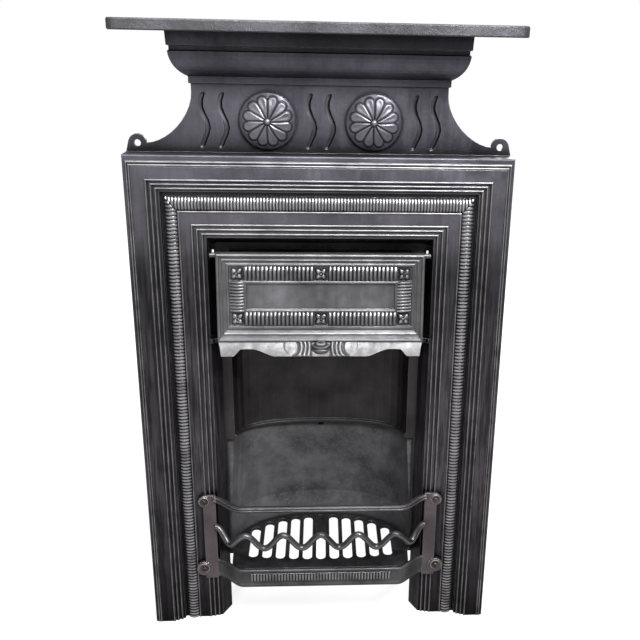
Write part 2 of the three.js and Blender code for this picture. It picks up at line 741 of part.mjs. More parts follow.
// Moulding all round the hood's plate: a roll, a hollow, a bead and a raised inner edge.
function hoodMoulding() {
  const rise = HOOD_MOULDING_RISE;
  return hoodFrame([
    [0, HOOD_PLATE],
    [0, -rise + 2.4],
    [0.04, -rise + 0.8],
    [0.13, -rise],
    [0.22, -rise + 0.8],
    [0.27, -rise + 2.6],
    [0.42, -rise + 3.8],
    [0.5, -rise + 2.8],
    [0.58, -rise + 4],
    [0.72, -rise + 5.4],
    [0.83, -rise + 4.4],
    [0.94, -rise + 4.6],
    [1, 0],
    [1, HOOD_PLATE],
  ], (share, end) => share * HOOD_MOULDING_WIDTH[end]);
}

// Raised fillet round the plain panel.
function panelFillet() {
  const top = HOOD_FILLET;
  const section = [[0, 1], [0, -1.8], [1.2, -2.8], [top - 2, -2.8], [top - 0.6, -1.4], [top, 1]];
  return hoodFrame(section, (share, end) => HOOD_MOULDING_WIDTH[end] + HOOD_FLUTE_BAND[end] + share);
}

// Band of flutes on a rounded ground: the ridges' outline drawn at steps across the band.
function fluteBand(outline, start, width, place) {
  return loft([0, 0.28, 1].map((share) => {
    const bulge = share > 0 && share < 1 ? HOOD_BAND_BULGE : 0;
    return outline.map(([along, y]) => place(along, y > 0 ? y : y - bulge, start + share * width));
  }));
}

// Fluted border: upright flutes above and below the panel, level ones beside it.
function hoodFlutes() {
  const flower = HOOD_FLUTE_BAND.top / 2;
  const inner = hoodHalf - HOOD_MOULDING_WIDTH.side - HOOD_FLUTE_BAND.side;
  const lower = HOOD_MOULDING_WIDTH.bottom + HOOD_FLUTE_BAND.bottom;
  const upper = HOOD_HEIGHT - HOOD_MOULDING_WIDTH.top - HOOD_FLUTE_BAND.top;
  const upright = ridgeOutline(flower, inner, HOOD_FLUTE_PITCH.top, HOOD_FLUTE_DEPTH, 1);
  const level = ridgeOutline(lower, upper, HOOD_FLUTE_PITCH.side, HOOD_FLUTE_DEPTH, 1);
  const band = HOOD_FLUTE_BAND;
  return SIDES.flatMap((side) => {
    const at = (x, y, z) => new THREE.Vector3(side * x, y, z);
    return [
      fluteBand(upright, lower, -band.bottom, at),
      fluteBand(upright, upper + band.top, -band.top, at),
      fluteBand(level, inner, band.side, (z, y, x) => at(x, y, z)),
    ];
  });
}

// Four-petalled flower in a square of the border.
function borderFlower(x, z) {
  const size = HOOD_FLUTE_BAND.bottom / 2 - 0.6;
  const steps = 12;
  const ring = (share, lift) => Array.from({ length: steps }, (_, i) => {
    const angle = (2 * Math.PI * i) / steps;
    const r = size * share * (0.55 + 0.45 * Math.abs(Math.sin(2 * angle)));
    return new THREE.Vector3(x + r * Math.cos(angle), -lift, z + r * Math.sin(angle));
  });
  return loft([ring(1, -1), ring(1, 1), ring(0.75, 3), ring(0.35, 1.4), ring(0.15, 3)]);
}

// How far the apron's scalloped edge reaches at a place across the hood, as a share of its drop:
// full at the corners, arched up beside them, then falling slowly to a full middle.
function apronReach(x) {
  const across = Math.abs(x) / hoodHalf;
  const { smoothstep } = THREE.MathUtils;
  const arch = smoothstep(across, 0.45, 0.69) * (1 - smoothstep(across, 0.785, 0.885));
  return 1 - (APRON_SCALLOP / APRON_DROP) * arch;
}

// Flared apron under the hood, hollow-curved towards the front, with a scalloped edge.
function apron() {
  const stations = 30;
  const steps = 4;
  const rings = Array.from({ length: stations + 1 }, (_, i) => {
    const x = -hoodHalf + (2 * i * hoodHalf) / stations;
    const reach = apronReach(x);
    const curve = (offset) => Array.from({ length: steps + 1 }, (__, j) => {
      const s = (j / steps) * reach;
      const spread = 1 - (APRON_SIDE_TAPER / hoodHalf) * s;
      const y = -HOOD_MOULDING_RISE / 2 - APRON_FLARE * s ** 1.5 + offset;
      return new THREE.Vector3(x * spread, y, 4 - (APRON_DROP + 4) * s - offset * 0.4);
    });
    return [...curve(0), ...curve(APRON_THICKNESS).reverse()];
  });
  return loft(rings);
}

// Ribbed ball at the middle of the apron.
function apronBall() {
  const half = APRON_BALL_WIDTH / 2;
  const ribs = [0.01, 0.5, 0.78, 0.86, 0.97, 0.9, 0.98, 0.86, 0.78, 0.5, 0.01];
  const profile = ribs.map((r, i) => new THREE.Vector2(r, -1 + (2 * i) / (ribs.length - 1)));
  const closed = [new THREE.Vector2(0, -1), ...profile.slice(1, -1), new THREE.Vector2(0, 1)];
  const ball = new THREE.LatheGeometry(closed, 16);
  ball.scale(half, (APRON_DROP * 2) / 3, half * 0.5);
  return solid(ball.rotateX(Math.PI / 2 - 0.7).translate(0, -HOOD_MOULDING_RISE / 2 - 8, -6));
}

// Ear and trunnion at each upper corner.
function trunnion(side) {
  const z = HOOD_HEIGHT - TRUNNION_DROP;
  const y = TRUNNION_SETBACK - hoodDepth(z);
  const inner = hoodHalf - 5;
  const ear = bar([
    [HOOD_PLATE - 1, z - 9],
    ...arc(y, z, TRUNNION_RADIUS + 1, -90, 90, 6),
    [HOOD_PLATE - 1, z + TRUNNION_RADIUS + 1],
  ], Math.min(side * inner, side * hoodHalf), Math.max(side * inner, side * hoodHalf));
  const pin = rodX(TRUNNION_RADIUS, y, z, side * (hoodHalf - 1), side * (hoodHalf + TRUNNION_LENGTH));
  return ear.add(pin);
}

function hood() {
  const column = hoodHalf - HOOD_MOULDING_WIDTH.side - HOOD_FLUTE_BAND.side / 2;
  const rows = [
    HOOD_MOULDING_WIDTH.bottom + HOOD_FLUTE_BAND.bottom / 2,
    HOOD_HEIGHT - HOOD_MOULDING_WIDTH.top - HOOD_FLUTE_BAND.top / 2,
  ];
  const flowers = [-1, 0, 1].flatMap((side) => rows.map((z) => borderFlower(side * column, z)));
  const panel = box(-hoodHalf + 2, 0, 2, hoodHalf - 2, HOOD_PLATE, HOOD_HEIGHT - 2);
  const body = join([
    panel,
    hoodMoulding(),
    panelFillet(),
    ...hoodFlutes(),
    ...flowers,
    apron(),
    apronBall(),
    ...SIDES.map(trunnion),
  ]);
  const lean = [1, 0, 0, 0, 0, 1, 0, 0, 0, HOOD_LEAN / HOOD_HEIGHT, 1, 0, 0, 0, hoodBottom, 1];
  return body.transform(lean);
}

// ---- Fireback, brick and grate ----

// Bulging plan curve from the left cheek round the back to the right cheek.
function hearthCurve(halfWidth, depth, steps = 20) {
  const power = 2 / 2.3;
  return Array.from({ length: steps + 1 }, (_, i) => {
    const angle = Math.PI - (Math.PI * i) / steps;
    const c = Math.cos(angle);
    const s = Math.max(0, Math.sin(angle));
    return [Math.sign(c) * halfWidth * Math.abs(c) ** power, depth * s ** power];
  });
}

// Curved wall through levels of { z, half, depth, thick }, standing on the line y = front.
function hearthWall(levels, front) {
  return loft(levels.map(({ z, half, depth, thick }) => {
    const inner = hearthCurve(half, depth);
    const outer = hearthCurve(half + thick, depth + thick).reverse();
    return [...inner, ...outer].map(([x, y]) => new THREE.Vector3(x, front + y, z));
  }));
}

const backHalf = openingHalf - BACK_SIDE_GAP;
const hearthHalf = openingHalf - HEARTH_SIDE_GAP;
const throatTop = openingTop - THROAT_TOP_GAP;
const ledgeTop = HEARTH_HEIGHT - FIT;
const ledgeBottom = ledgeTop - LEDGE_THICKNESS;
const brickRoof = BRICK_TOP_HEIGHT + FIT;
const pocketGap = BRICK_THICKNESS + 2 * FIT;
const flangeHalf = openingHalf + FLANGE_SIDE_LAP;
const flangeTop = openingTop + FLANGE_TOP_LAP;

// Front flange: a frame that bolts to the surround, with a slit behind each trunnion.
function firebackFlange() {
  const rim = [
    [-flangeHalf, ledgeBottom],
    [-hearthHalf, ledgeBottom],
    [-hearthHalf, brickRoof],
    [-backHalf, brickRoof + BEAD_ROLL * 2],
    [-backHalf, throatTop],
  ];
  const mirrored = rim.map(([x, z]) => [-x, z]).reverse();
  const outline = [...rim, ...mirrored, [flangeHalf, flangeTop], [-flangeHalf, flangeTop]];
  const slits = SIDES.map((side) => {
    const ends = [openingHalf - FLANGE_SLIT.inner, openingHalf - FLANGE_SLIT.outer].map((x) => side * x);
    const foot = trunnionHeight - FLANGE_SLIT.below;
    const head = trunnionHeight + FLANGE_SLIT.above;
    return box(Math.min(...ends), flangeFront - 1, foot, Math.max(...ends), flangeBack + 1, head);
  });
  return cut(slab(outline, flangeFront, flangeBack), slits);
}

function fireback() {
  const upper = hearthWall([
    { z: brickRoof, half: backHalf, depth: BACK_DEPTH, thick: BACK_WALL },
    { z: brickRoof + 180, half: backHalf, depth: BACK_DEPTH, thick: BACK_WALL },
    { z: throatTop, half: backHalf, depth: THROAT_DEPTH, thick: BACK_WALL },
  ], flangeFront);
  const thin = { half: backHalf - 1, depth: BACK_DEPTH - 1, thick: BEAD_ROLL };
  const full = { half: backHalf - BEAD_ROLL, depth: BACK_DEPTH - BEAD_ROLL, thick: BEAD_ROLL + 1 };
  const roll = hearthWall([
    { z: brickRoof, ...thin },
    { z: brickRoof + BEAD_ROLL * 0.6, ...full },
    { z: brickRoof + BEAD_ROLL * 1.5, ...full },
    { z: brickRoof + BEAD_ROLL * 2, ...thin },
  ], flangeFront);
  const pocket = { half: hearthHalf + pocketGap, depth: HEARTH_DEPTH + pocketGap, thick: BACK_WALL };
  const pocketWall = hearthWall([
    { z: ledgeBottom, ...pocket },
    { z: brickRoof + BACK_WALL, ...pocket },
  ], flangeFront);
  const step = {
    half: hearthHalf - LEDGE_WIDTH,
    depth: HEARTH_DEPTH - LEDGE_WIDTH,
    thick: LEDGE_WIDTH + pocketGap + 1,
  };
  const ledge = hearthWall([{ z: ledgeBottom, ...step }, { z: ledgeTop, ...step }], flangeFront);
  const bolts = SIDES.flatMap((side) => Object.values(FIREBACK_BOLTS).map((z) => (
    rodY(BOLT_RADIUS + FIT, side * firebackBoltX, z, flangeFront - 1, flangeBack + 1)
  )));
  const feet = SIDES.map(rearFoot);
  const body = join([firebackFlange(), upper, roll, pocketRoof(), pocketWall, ledge, rearLug(), ...feet]);
  return cut(body, bolts);
}

// Level plate that closes the brick's pocket between the upper back and the pocket's wall.
function pocketRoof() {
  const outer = hearthCurve(hearthHalf + pocketGap + 1, HEARTH_DEPTH + pocketGap + 1);
  const inner = hearthCurve(backHalf + 1, BACK_DEPTH + 1).reverse();
  return plate([...outer, ...inner].map(([x, y]) => [x, flangeFront + y]), brickRoof, brickRoof + BACK_WALL);
}

// Lug that hangs under the ledge at the middle of the back.
function rearLug() {
  const back = flangeFront + HEARTH_DEPTH;
  return box(-10, back - LEDGE_WIDTH, ledgeBottom - REAR_LUG_DROP, 10, back + 8, ledgeBottom + 1);
}

// Tapered foot under the ledge on each side.
function rearFoot(side) {
  const geometry = new THREE.CylinderGeometry(FOOT_WIDTH / Math.SQRT2, FOOT_WIDTH / 2, ledgeBottom + 1, 4);
  geometry.rotateY(Math.PI / 4).rotateX(Math.PI / 2);
  const y = flangeFront + HEARTH_DEPTH * 0.62;
  return solid(geometry.translate(side * (hearthHalf - FOOT_INSET), y, (ledgeBottom + 1) / 2));
}

// Curved brick: upright at the foot, then its face leans forward while its back stays on the pocket.
function fireBrick() {
  const lean = HEARTH_DEPTH - BACK_DEPTH - BEAD_ROLL;
  const outer = hearthCurve(hearthHalf + BRICK_THICKNESS, HEARTH_DEPTH + BRICK_THICKNESS).reverse();
  const level = (z, forward) => {
    const inner = hearthCurve(hearthHalf - forward * BRICK_SIDE_SHARE, HEARTH_DEPTH - forward);
    return [...inner, ...outer].map(([x, y]) => new THREE.Vector3(x, flangeFront + y, z));
  };
  const body = loft([level(HEARTH_HEIGHT, 0), level(BRICK_BREAK_HEIGHT, 0), level(BRICK_TOP_HEIGHT, lean)]);
  const back = flangeFront + HEARTH_DEPTH - lean;
  const half = hearthHalf + BRICK_THICKNESS + 1;
  const tools = [
    box(-half, 0, HEARTH_HEIGHT - 1, half, flangeBack + FIT, BRICK_TOP_HEIGHT + 1),
    box(-BRICK_NOTCH / 2, back - 2, BRICK_TOP_HEIGHT - BRICK_NOTCH, BRICK_NOTCH / 2, back + 8, BRICK_TOP_HEIGHT + 1),
  ];
  return cut(body, tools);
}

// Round-ended slot from one depth to another, as an outline in X and Y.
function slotOutline(x, near, far) {
  const r = SLOT_WIDTH / 2;
  return [...arc(x, near + r, r, 180, 360, 6), ...arc(x, far - r, r, 0, 180, 6)];
}

// Plan curve that keeps a distance behind the bars' path, out to a half-width.
function behindBars(distance, limit) {
  const path = barPath(0);
  return path.map(([x, y], i) => {
    const [x0, y0] = path[Math.max(0, i - 1)];
    const [x1, y1] = path[Math.min(path.length - 1, i + 1)];
    const length = Math.hypot(x1 - x0, y1 - y0);
    return [x - (distance * (y1 - y0)) / length, y + (distance * (x1 - x0)) / length];
  }).filter(([x]) => Math.abs(x) <= limit);
}

// Slotted plate: its front follows the bars, its back the brick.
function bottomGrate() {
  const back = hearthCurve(hearthHalf - GRATE_PLAY, HEARTH_DEPTH - GRATE_PLAY).map(([x, y]) => [x, flangeFront + y]);
  const front = behindBars(RAIL_WALL + 1 + GRATE_FRONT_GAP, hearthHalf - 1);
  const outline = [...back, ...front.reverse()];
  const slotHalf = hearthHalf - 6;
  const slots = Array.from({ length: SLOT_COUNT }, (_, i) => {
    const x = (i - (SLOT_COUNT - 1) / 2) * SLOT_PITCH;
    const share = Math.sqrt(1 - (x / slotHalf) ** 2);
    const far = flangeFront + (HEARTH_DEPTH - SLOT_RIM) * share;
    const near = 6 + 14 * (x / slotHalf) ** 2;
    return plate(slotOutline(x, near, far), HEARTH_HEIGHT - 1, HEARTH_HEIGHT + GRATE_THICKNESS + 1);
  });
  return cut(plate(outline, HEARTH_HEIGHT, HEARTH_HEIGHT + GRATE_THICKNESS), slots);
}

// ---- Front bars ----

// Plan path of the bars' centre line: straight in front, sweeping back to the brackets.
function barPath(inset, steps = 10) {
  const straight = barsStraight;
  const end = openingHalf + BRACKET_INSET + 2;
  const near = -BARS_PROJECTION + inset;
  const side = Array.from({ length: steps + 1 }, (_, i) => {
    const s = i / steps;
    const ease = s * s * (3 - 2 * s);
    return [straight + (end - straight) * s, near + (BARS_END_SETBACK - near) * ease];
  });
  return [...side.map(([x, y]) => [-x, y]).reverse(), ...side];
}

// Section of [towards the back, up] carried along a path of points, square to it.
function sweep(points, section) {
  const up = new THREE.Vector3(0, 0, 1);
  return loft(points.map((point, i) => {
    const before = points[Math.max(0, i - 1)];
    const after = points[Math.min(points.length - 1, i + 1)];
    const along = after.clone().sub(before).normalize();
    const back = new THREE.Vector3().crossVectors(up, along).normalize();
    const top = new THREE.Vector3().crossVectors(along, back);
    return section.map(([b, t]) => point.clone().addScaledVector(back, b).addScaledVector(top, t));
  }));
}

// Bar with two ridges along its face, rising a little towards its ends.
function topBar() {
  const r = TOP_BAR_SIZE / 2;
  const plan = barPath(r);
  const reach = plan[plan.length - 1][0] - barsStraight;
  const points = plan.map(([x, y]) => {
    const share = Math.max(0, Math.abs(x) - barsStraight) / reach;
    return new THREE.Vector3(x, y, TOP_BAR_HEIGHT + TOP_BAR_END_RISE * share ** 2);
  });
  const section = [
    [r, -r], [r, r * 0.6], [r * 0.4, r], [-r * 0.4, r], [-r * 0.9, r * 0.7], [-r * 0.9, r * 0.4],
    [-r * 0.5, r * 0.15], [-r * 0.95, -r * 0.15], [-r, -r * 0.5], [-r * 0.7, -r],
  ];
  return sweep(points, section);
}

// Bar that rises and falls evenly along the bowed path, at a crest in the middle and at both ends.
function waveBar() {
  const r = WAVE_BAR_SIZE / 2;
  const plan = barPath(r, 16).map(([x, y]) => new THREE.Vector3(x, y, 0));
  const curve = new THREE.CurvePath();
  plan.slice(1).forEach((point, i) => curve.add(new THREE.LineCurve3(plan[i], point)));
  const steps = WAVE_COUNT * 10;
  const points = Array.from({ length: steps + 1 }, (_, i) => {
    const phase = 2 * Math.PI * (i / steps - 0.5) * WAVE_COUNT;
    return curve.getPoint(i / steps).setZ(WAVE_BAR_HEIGHT + WAVE_SWING * Math.cos(phase));
  });
  const section = [
    [r, -r * 0.7], [r, r * 0.7], [-r * 0.3, r], [-r * 0.9, r * 0.6], [-r, 0], [-r * 0.9, -r * 0.6], [-r * 0.3, -r],
  ];
  return sweep(points, section);
}

// Fluted rail with a lip along each edge and a ledge behind it for the grate.
function trayRail() {
  const top = RAIL_HEIGHT;
  const points = barPath(0).map(([x, y]) => new THREE.Vector3(x, y, RAIL_BOTTOM_HEIGHT));
  const ledgeUnder = ledgeBottom - RAIL_BOTTOM_HEIGHT;
  const ledgeOver = ledgeTop - RAIL_BOTTOM_HEIGHT;
  const face = 1.6;
  const section = [
    [1, 0], [0.1, 1.2], [0.1, RAIL_LIP - 2], [1, RAIL_LIP], [face, RAIL_LIP + 1.5], [face, top - 5.5],
    [0.2, top - 4], [0, top - 2], [0.8, top - 0.5], [2, top],
    [RAIL_WALL, top], [RAIL_WALL + 1, top - 3], [RAIL_WALL + 1, ledgeOver], [RAIL_WALL + 1, ledgeUnder - 2],
    [RAIL_WALL, 0],
  ];
  const back = -BARS_PROJECTION + RAIL_WALL;
  const ledge = box(-barsStraight, back, ledgeBottom, barsStraight, back + 1 + RAIL_LEDGE, ledgeTop);
  const fluted = barsStraight - RAIL_FLUTE_INSET;
  const flutes = ridgeOutline(-fluted, fluted, RAIL_FLUTE_PITCH, RAIL_FLUTE_DEPTH, 1);
  const fluteFoot = RAIL_BOTTOM_HEIGHT + RAIL_FLUTE_RISE;
  const fluting = plate(
    flutes.map(([x, y]) => [x, y - BARS_PROJECTION + face]),
    fluteFoot,
    fluteFoot + RAIL_FLUTE_HEIGHT,
  );
  return join([sweep(points, section), ledge, fluting]);
}

// Upright strip on the jamb with a round lobe at each screw.
function bracket(side) {
  const inner = openingHalf + BRACKET_INSET;
  const strip = box(
    Math.min(side * inner, side * (inner + BRACKET_WIDTH)),
    bracketFront,
    RAIL_BOTTOM_HEIGHT - BRACKET_DROP,
    Math.max(side * inner, side * (inner + BRACKET_WIDTH)),
    bracketBack,
    TOP_BAR_HEIGHT + BRACKET_HEAD,
  );
  const lobes = Object.values(LOBES).map(({ offset, height, radius }) => (
    rodY(radius, side * (openingHalf + offset), height, bracketFront - 1, bracketBack)
  ));
  return join([strip, ...lobes]);
}

function frontBars() {
  const holes = SIDES.flatMap((side) => Object.values(LOBES).map(({ offset, height }) => (
    rodY(BAR_SCREW_RADIUS + FIT, side * (openingHalf + offset), height, bracketFront - 2, bracketBack + 1, 12)
  )));
  return cut(join([topBar(), waveBar(), trayRail(), ...SIDES.map(bracket)]), holes);
}

// ---- Fasteners ----

const barNutFront = innerFlatDepth + WALL + FIT;

function barScrew(side, { offset, height }) {
  const x = side * (openingHalf + offset);
  const seat = bracketFront - 1 - FIT;
  return join([
    rodY(BAR_SCREW_HEAD, x, height, seat - 1.6, seat, 12),
    rodY(BAR_SCREW_HEAD * 0.75, x, height, seat - 2.4, seat - 1.5, 12),
    rodY(BAR_SCREW_RADIUS, x, height, seat - 0.5, barNutFront + BAR_NUT_THICKNESS + 3, 12),
  ]);
}

function barNut(side, { offset, height }) {
  const x = side * (openingHalf + offset);
  const back = barNutFront + BAR_NUT_THICKNESS;
  const block = rodY(BAR_NUT_WIDTH / Math.SQRT2, x, height, barNutFront, back, 4);
  return block.subtract(rodY(BAR_SCREW_RADIUS + FIT, x, height, barNutFront - 1, back + 1, 12));
}

const firebackNutBack = SURROUND_DEPTH - WALL - FIT;
const firebackNutFront = firebackNutBack - BOLT_HEAD_THICKNESS;

function firebackBolt(side, z) {
  const x = side * firebackBoltX;
  const seat = flangeBack + FIT;
  return join([
    rodY(BOLT_HEAD_WIDTH / Math.SQRT2, x, z, seat, seat + BOLT_HEAD_THICKNESS, 4),
    rodY(BOLT_RADIUS, x, z, firebackNutFront - BOLT_OVERHANG, seat + 1),
  ]);
}

function firebackNut(side, z) {
  const x = side * firebackBoltX;
  const block = rodY(BOLT_HEAD_WIDTH / Math.SQRT2, x, z, firebackNutFront, firebackNutBack, 4);
  return block.subtract(rodY(BOLT_RADIUS + FIT, x, z, firebackNutFront - 1, firebackNutBack + 1));
}

// ---- Assembly ----

const fireplace = new THREE.Group();

function addPiece(name, body, material) {
  const { vertProperties, triVerts } = body.simplify(0.01).getMesh();
  const geometry = new THREE.BufferGeometry();
  geometry.setAttribute('position', new THREE.BufferAttribute(new Float32Array(vertProperties), 3));
  geometry.setIndex(Array.from(triVerts));
  geometry.computeVertexNormals();
  const mesh = new THREE.Mesh(geometry, material);
  mesh.name = name;
  fireplace.add(mesh);
}

addPiece('surround', surround(), BLACKED_IRON);
addPiece('mantel_shelf', mantelShelf(), BLACKED_IRON);
addPiece('hood', hood(), HOOD_IRON);
addPiece('fireback', fireback(), BLACKED_IRON);
addPiece('fire_brick', fireBrick(), SOOTED_CLAY);
addPiece('bottom_grate', bottomGrate(), GRATE_IRON);
addPiece('front_bars', frontBars(), BAR_IRON);

SIDES.forEach((side) => {
  const hand = side < 0 ? 'left' : 'right';
  addPiece(`shelf_bolt_${hand}`, shelfBolt(side), SCREW_STEEL);
  Object.entries(LOBES).forEach(([place, lobe]) => {
    addPiece(`bar_screw_${place}_${hand}`, barScrew(side, lobe), SCREW_STEEL);
    addPiece(`bar_nut_${place}_${hand}`, barNut(side, lobe), SCREW_STEEL);
  });
  Object.entries(FIREBACK_BOLTS).forEach(([place, z]) => {
    addPiece(`fireback_bolt_${place}_${hand}`, firebackBolt(side, z), SCREW_STEEL);
    addPiece(`fireback_nut_${place}_${hand}`, firebackNut(side, z), SCREW_STEEL);
  });
});

const middle = new THREE.Box3().setFromObject(fireplace).getCenter(new THREE.Vector3());
fireplace.position.y = -middle.y;

export default fireplace;
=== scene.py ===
import math

import bpy
from mathutils import Matrix, Vector


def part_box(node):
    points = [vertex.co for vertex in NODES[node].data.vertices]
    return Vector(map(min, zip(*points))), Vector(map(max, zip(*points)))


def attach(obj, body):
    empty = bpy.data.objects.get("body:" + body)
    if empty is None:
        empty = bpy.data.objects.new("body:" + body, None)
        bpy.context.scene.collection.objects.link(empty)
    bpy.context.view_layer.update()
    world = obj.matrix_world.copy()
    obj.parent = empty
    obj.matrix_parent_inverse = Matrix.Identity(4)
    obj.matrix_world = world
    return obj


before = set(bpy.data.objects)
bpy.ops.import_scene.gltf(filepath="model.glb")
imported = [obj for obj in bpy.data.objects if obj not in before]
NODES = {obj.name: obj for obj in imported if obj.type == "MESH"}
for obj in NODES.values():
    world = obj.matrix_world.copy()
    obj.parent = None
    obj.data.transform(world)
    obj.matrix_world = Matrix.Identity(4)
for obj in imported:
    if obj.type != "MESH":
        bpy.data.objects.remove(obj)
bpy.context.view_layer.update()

# Metres, in the part's own frame: X to the right, Y to the back, Z up from the floor.
# FACE is where the front of the surround's outer band lies, 59 mm behind the shelf's edge.
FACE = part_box("mantel_shelf")[0][1] + 0.059
SIDES = ((-1, "left"), (1, "right"))

# Camera: its turn in degrees, its place in millimetres before the outer band and its height
# in metres, and its lens and shift in pixels of a square picture
CAMERA_TURN = (19.06, 3.62, -1.21)
CAMERA_BACK = -1195
CAMERA_HEIGHT = 0.956
PICTURE_SIZE = 640
LENS = 837
SHIFT = -51.6
SENSOR = 36

# Lamps: name, place and target in metres, size in metres, power in watts
LAMPS = (
    ("key", (0.85, -1.6, 2.15), (0, 0, 0.5), 0.5, 70),
    ("sky", (-0.1, -1.2, 2.6), (0, 0, 0.45), 1.3, 60),
    ("front", (-1.2, -2.4, 0.7), (0, 0, 0.4), 1.2, 6),
    ("back", (0.9, 2.0, 1.7), (0, 0.1, 0.45), 1.2, 55),
)
WORLD_STRENGTH = 0.32
GLOSSY_SHARE = 0.3  # how much of the white surroundings reflections see
FLOOR_HALF = 4
FLOOR_DROP = 0.0005
FLOOR_GREY = (0.24, 0.24, 0.24, 1)

# Iron: how metallic it is, the radius of its edges in metres, and how far the streaks change its gloss
METAL = 0.8
EDGE_RADIUS = 0.0009
STREAK_GLOSS = 0.3
# Colour that rubbed edges, and the relief's painted highlights, lighten the iron towards
RUBBED_AND_HIGHLIT_IRON = (0.42, 0.415, 0.42)

# Painted shade and light on the surround by height in metres: darker near the floor and just below the
# opening's top, lighter on the head and frieze
PAINTED_SHADE_BY_HEIGHT = (
    (0.04, (0.36, 0.31, 0.32)),
    (0.3, (0.86, 0.78, 0.80)),
    (0.62, (0.42, 0.40, 0.42)),
    (0.67, (1.05, 1.04, 1.05)),
    (0.82, (1.15, 1.14, 1.24)),
)

# From here on, millimetres, as in the castings
OPENING_HALF = 167.9
OPENING_TOP = 664.5
SKIN_GAP = 0.1  # between a sheet of reeds or flutes and the solid under it
RIDGE_STEPS = 8  # points across one reed or flute

# Reeds and beads of the surround; the pairs are for a jamb and for the head
REED_STARTS = (39.5, 41.0)
REED_WIDTHS = (17.5, 20.5)
JAMB_REED_PITCH = 5.6
HEAD_REED_PITCH = 4.7
REED_HEIGHT = 1.3
REED_ROWS = 11
BAND_DEPTH = 12
BAND_BULGE = 4
BEAD_INSET = 1.3
BEAD_RADIUS = 1.5
BEAD_POINTS = 11
# Each bead's name, its distance from the opening on a jamb and on the head, and its depth
BEADS = (
    *(("step", 7 * i - BEAD_INSET, 7 * i - BEAD_INSET, 15 - 1.4 * i) for i in (1, 2, 3)),
    ("fillet", 38, 39.25, 10.8),
    *(
        ("outer_step", 62.5 + 6.2 * i - BEAD_INSET, 69 + 6.3 * i - BEAD_INSET, 7.2 - 2.4 * i)
        for i in (1, 2, 3)
    ),
    ("edge_bead", 101.66, 107.44, 0.1),
    ("edge_bead", 105.04, 111.86, 0.1),
)

# Frieze
FRIEZE_DEPTH = 35.0
ROSETTE_HEIGHT = 831.0
ROSETTE_OFFSET = 76
ROSETTE_RADIUS = 41
ROSETTE_INNER = 5.6
ROSETTE_OUTER = 40.7
ROSETTE_EDGE_LIFT = 1.9
PETAL_TIP = 28.6  # where a petal's round end is centred
PETAL_END = 7.1  # radius of that end
PETAL_HEIGHT = 1.7
PETAL_EDGE = 2.4
BUTTON_RADIUS = 4.9
BUTTON_FOOT = 9.6
BUTTON_RISE = 4.2
GOUGE_SPACING = 152
GOUGE_OFFSET = 13.5
GOUGE_LENGTH = 77.4
GOUGE_HALF_WIDTH = 3.7
GOUGE_DEPTH = 2.45
GOUGE_SWING = 5
GOUGE_WAVES = 1.2

# Hood, with heights from its bottom edge
HOOD_BOTTOM = 508.0
HOOD_LEAN = 11 / 135
PANEL_BOTTOM = 45.5
PANEL_TOP = 93.5
PANEL_HALF = 114.5
BAND_WIDTH = 20.5
TOP_BAND_WIDTH = 21.5
FLOWER_HALF = 10.75
FLOWER_REACH = 9.9
LONG_FLUTE_PITCH = 6.2
SHORT_FLUTE_PITCH = 4.8
FLUTE_ROWS = 13
FLUTE_HEIGHT = 1.85
APRON_HALF = 154.9
APRON_SKIN_HALF = 154.6
APRON_DROP = 20
APRON_FLARE = 17
APRON_NARROWING = 6
APRON_LIFT = 0.35  # between the apron's skin and the solid
DISC_PLACE = (46, 10.5)
DISC_RADIUS = 11
CRESCENT_RADII = (16.5, 22.5, 28.5)
CRESCENT_HALF_WIDTH = 2.3
CRESCENT_SPAN = (15, 45)  # from and to this far from the middle
BALL_SIZE = (13.9, 7.4, 11.6)
BALL_PLACE = (-11.5, -6)  # depth and height of its centre
BALL_TILT = 0.5
BALL_RIBS = 11

# Bars
BARS_STRAIGHT = 127.0
BARS_END = 173.0
BARS_FRONT = -28.0
BARS_END_BACK = 5.0
RAIL_FACE = -26.4
RAIL_FLUTE_FOOT = 96.6
RAIL_FLUTE_RISE = 14.0
RAIL_FLUTE_MARGIN = 12
RAIL_FLUTE_PITCH = 4.9
RAIL_FLUTE_HEIGHT = 1.5
RAIL_FLUTE_ROWS = 9
WAVE_HEIGHT = 169.5
WAVE_SIZE = 4.5
WAVE_SWING = 12.0
WAVES = 6
WAVE_SKIN = 0.45
WAVE_RIB = 0.5
# Each scroll's name, its distance out from the opening, its height and its size
SCROLLS = (("top", 21, 228, 8.1), ("bottom", 25.5, 101, 10.6))
SCROLL_INNER = 6
SCROLL_DEPTH = 3.5
TUBE_SIDES = 10


def depth(millimetres):
    """Y of a place so many millimetres behind the surround's outer band."""
    return FACE + millimetres / 1000


def at(x, back, z):
    """A place in millimetres: across, behind the outer band, and up."""
    return Vector((x / 1000, depth(back), z / 1000))


def held(value, low=0.0, high=1.0):
    """The value, kept between two limits."""
    return min(high, max(low, value))


# ---- Camera, light and floor ----

def add_camera():
    """Camera that stands and looks as the photograph's did."""
    pitch, yaw, roll = (math.radians(angle) for angle in CAMERA_TURN)
    forward = Vector((math.sin(yaw) * math.cos(pitch), math.cos(yaw) * math.cos(pitch), -math.sin(pitch)))
    level = Vector((math.cos(yaw), -math.sin(yaw), 0))
    down = forward.cross(level)
    right = math.cos(roll) * level + math.sin(roll) * down
    down = -math.sin(roll) * level + math.cos(roll) * down
    turn = Matrix((right, -down, -forward)).transposed().to_4x4()
    data = bpy.data.cameras.new("camera")
    data.sensor_width = SENSOR
    data.lens = LENS / PICTURE_SIZE * SENSOR
    data.shift_x = SHIFT / PICTURE_SIZE
    data.clip_end = 30
    camera = bpy.data.objects.new("camera", data)
    camera.matrix_world = Matrix.Translation((0.001, depth(CAMERA_BACK), CAMERA_HEIGHT)) @ turn
    bpy.context.collection.objects.link(camera)
    bpy.context.scene.camera = camera


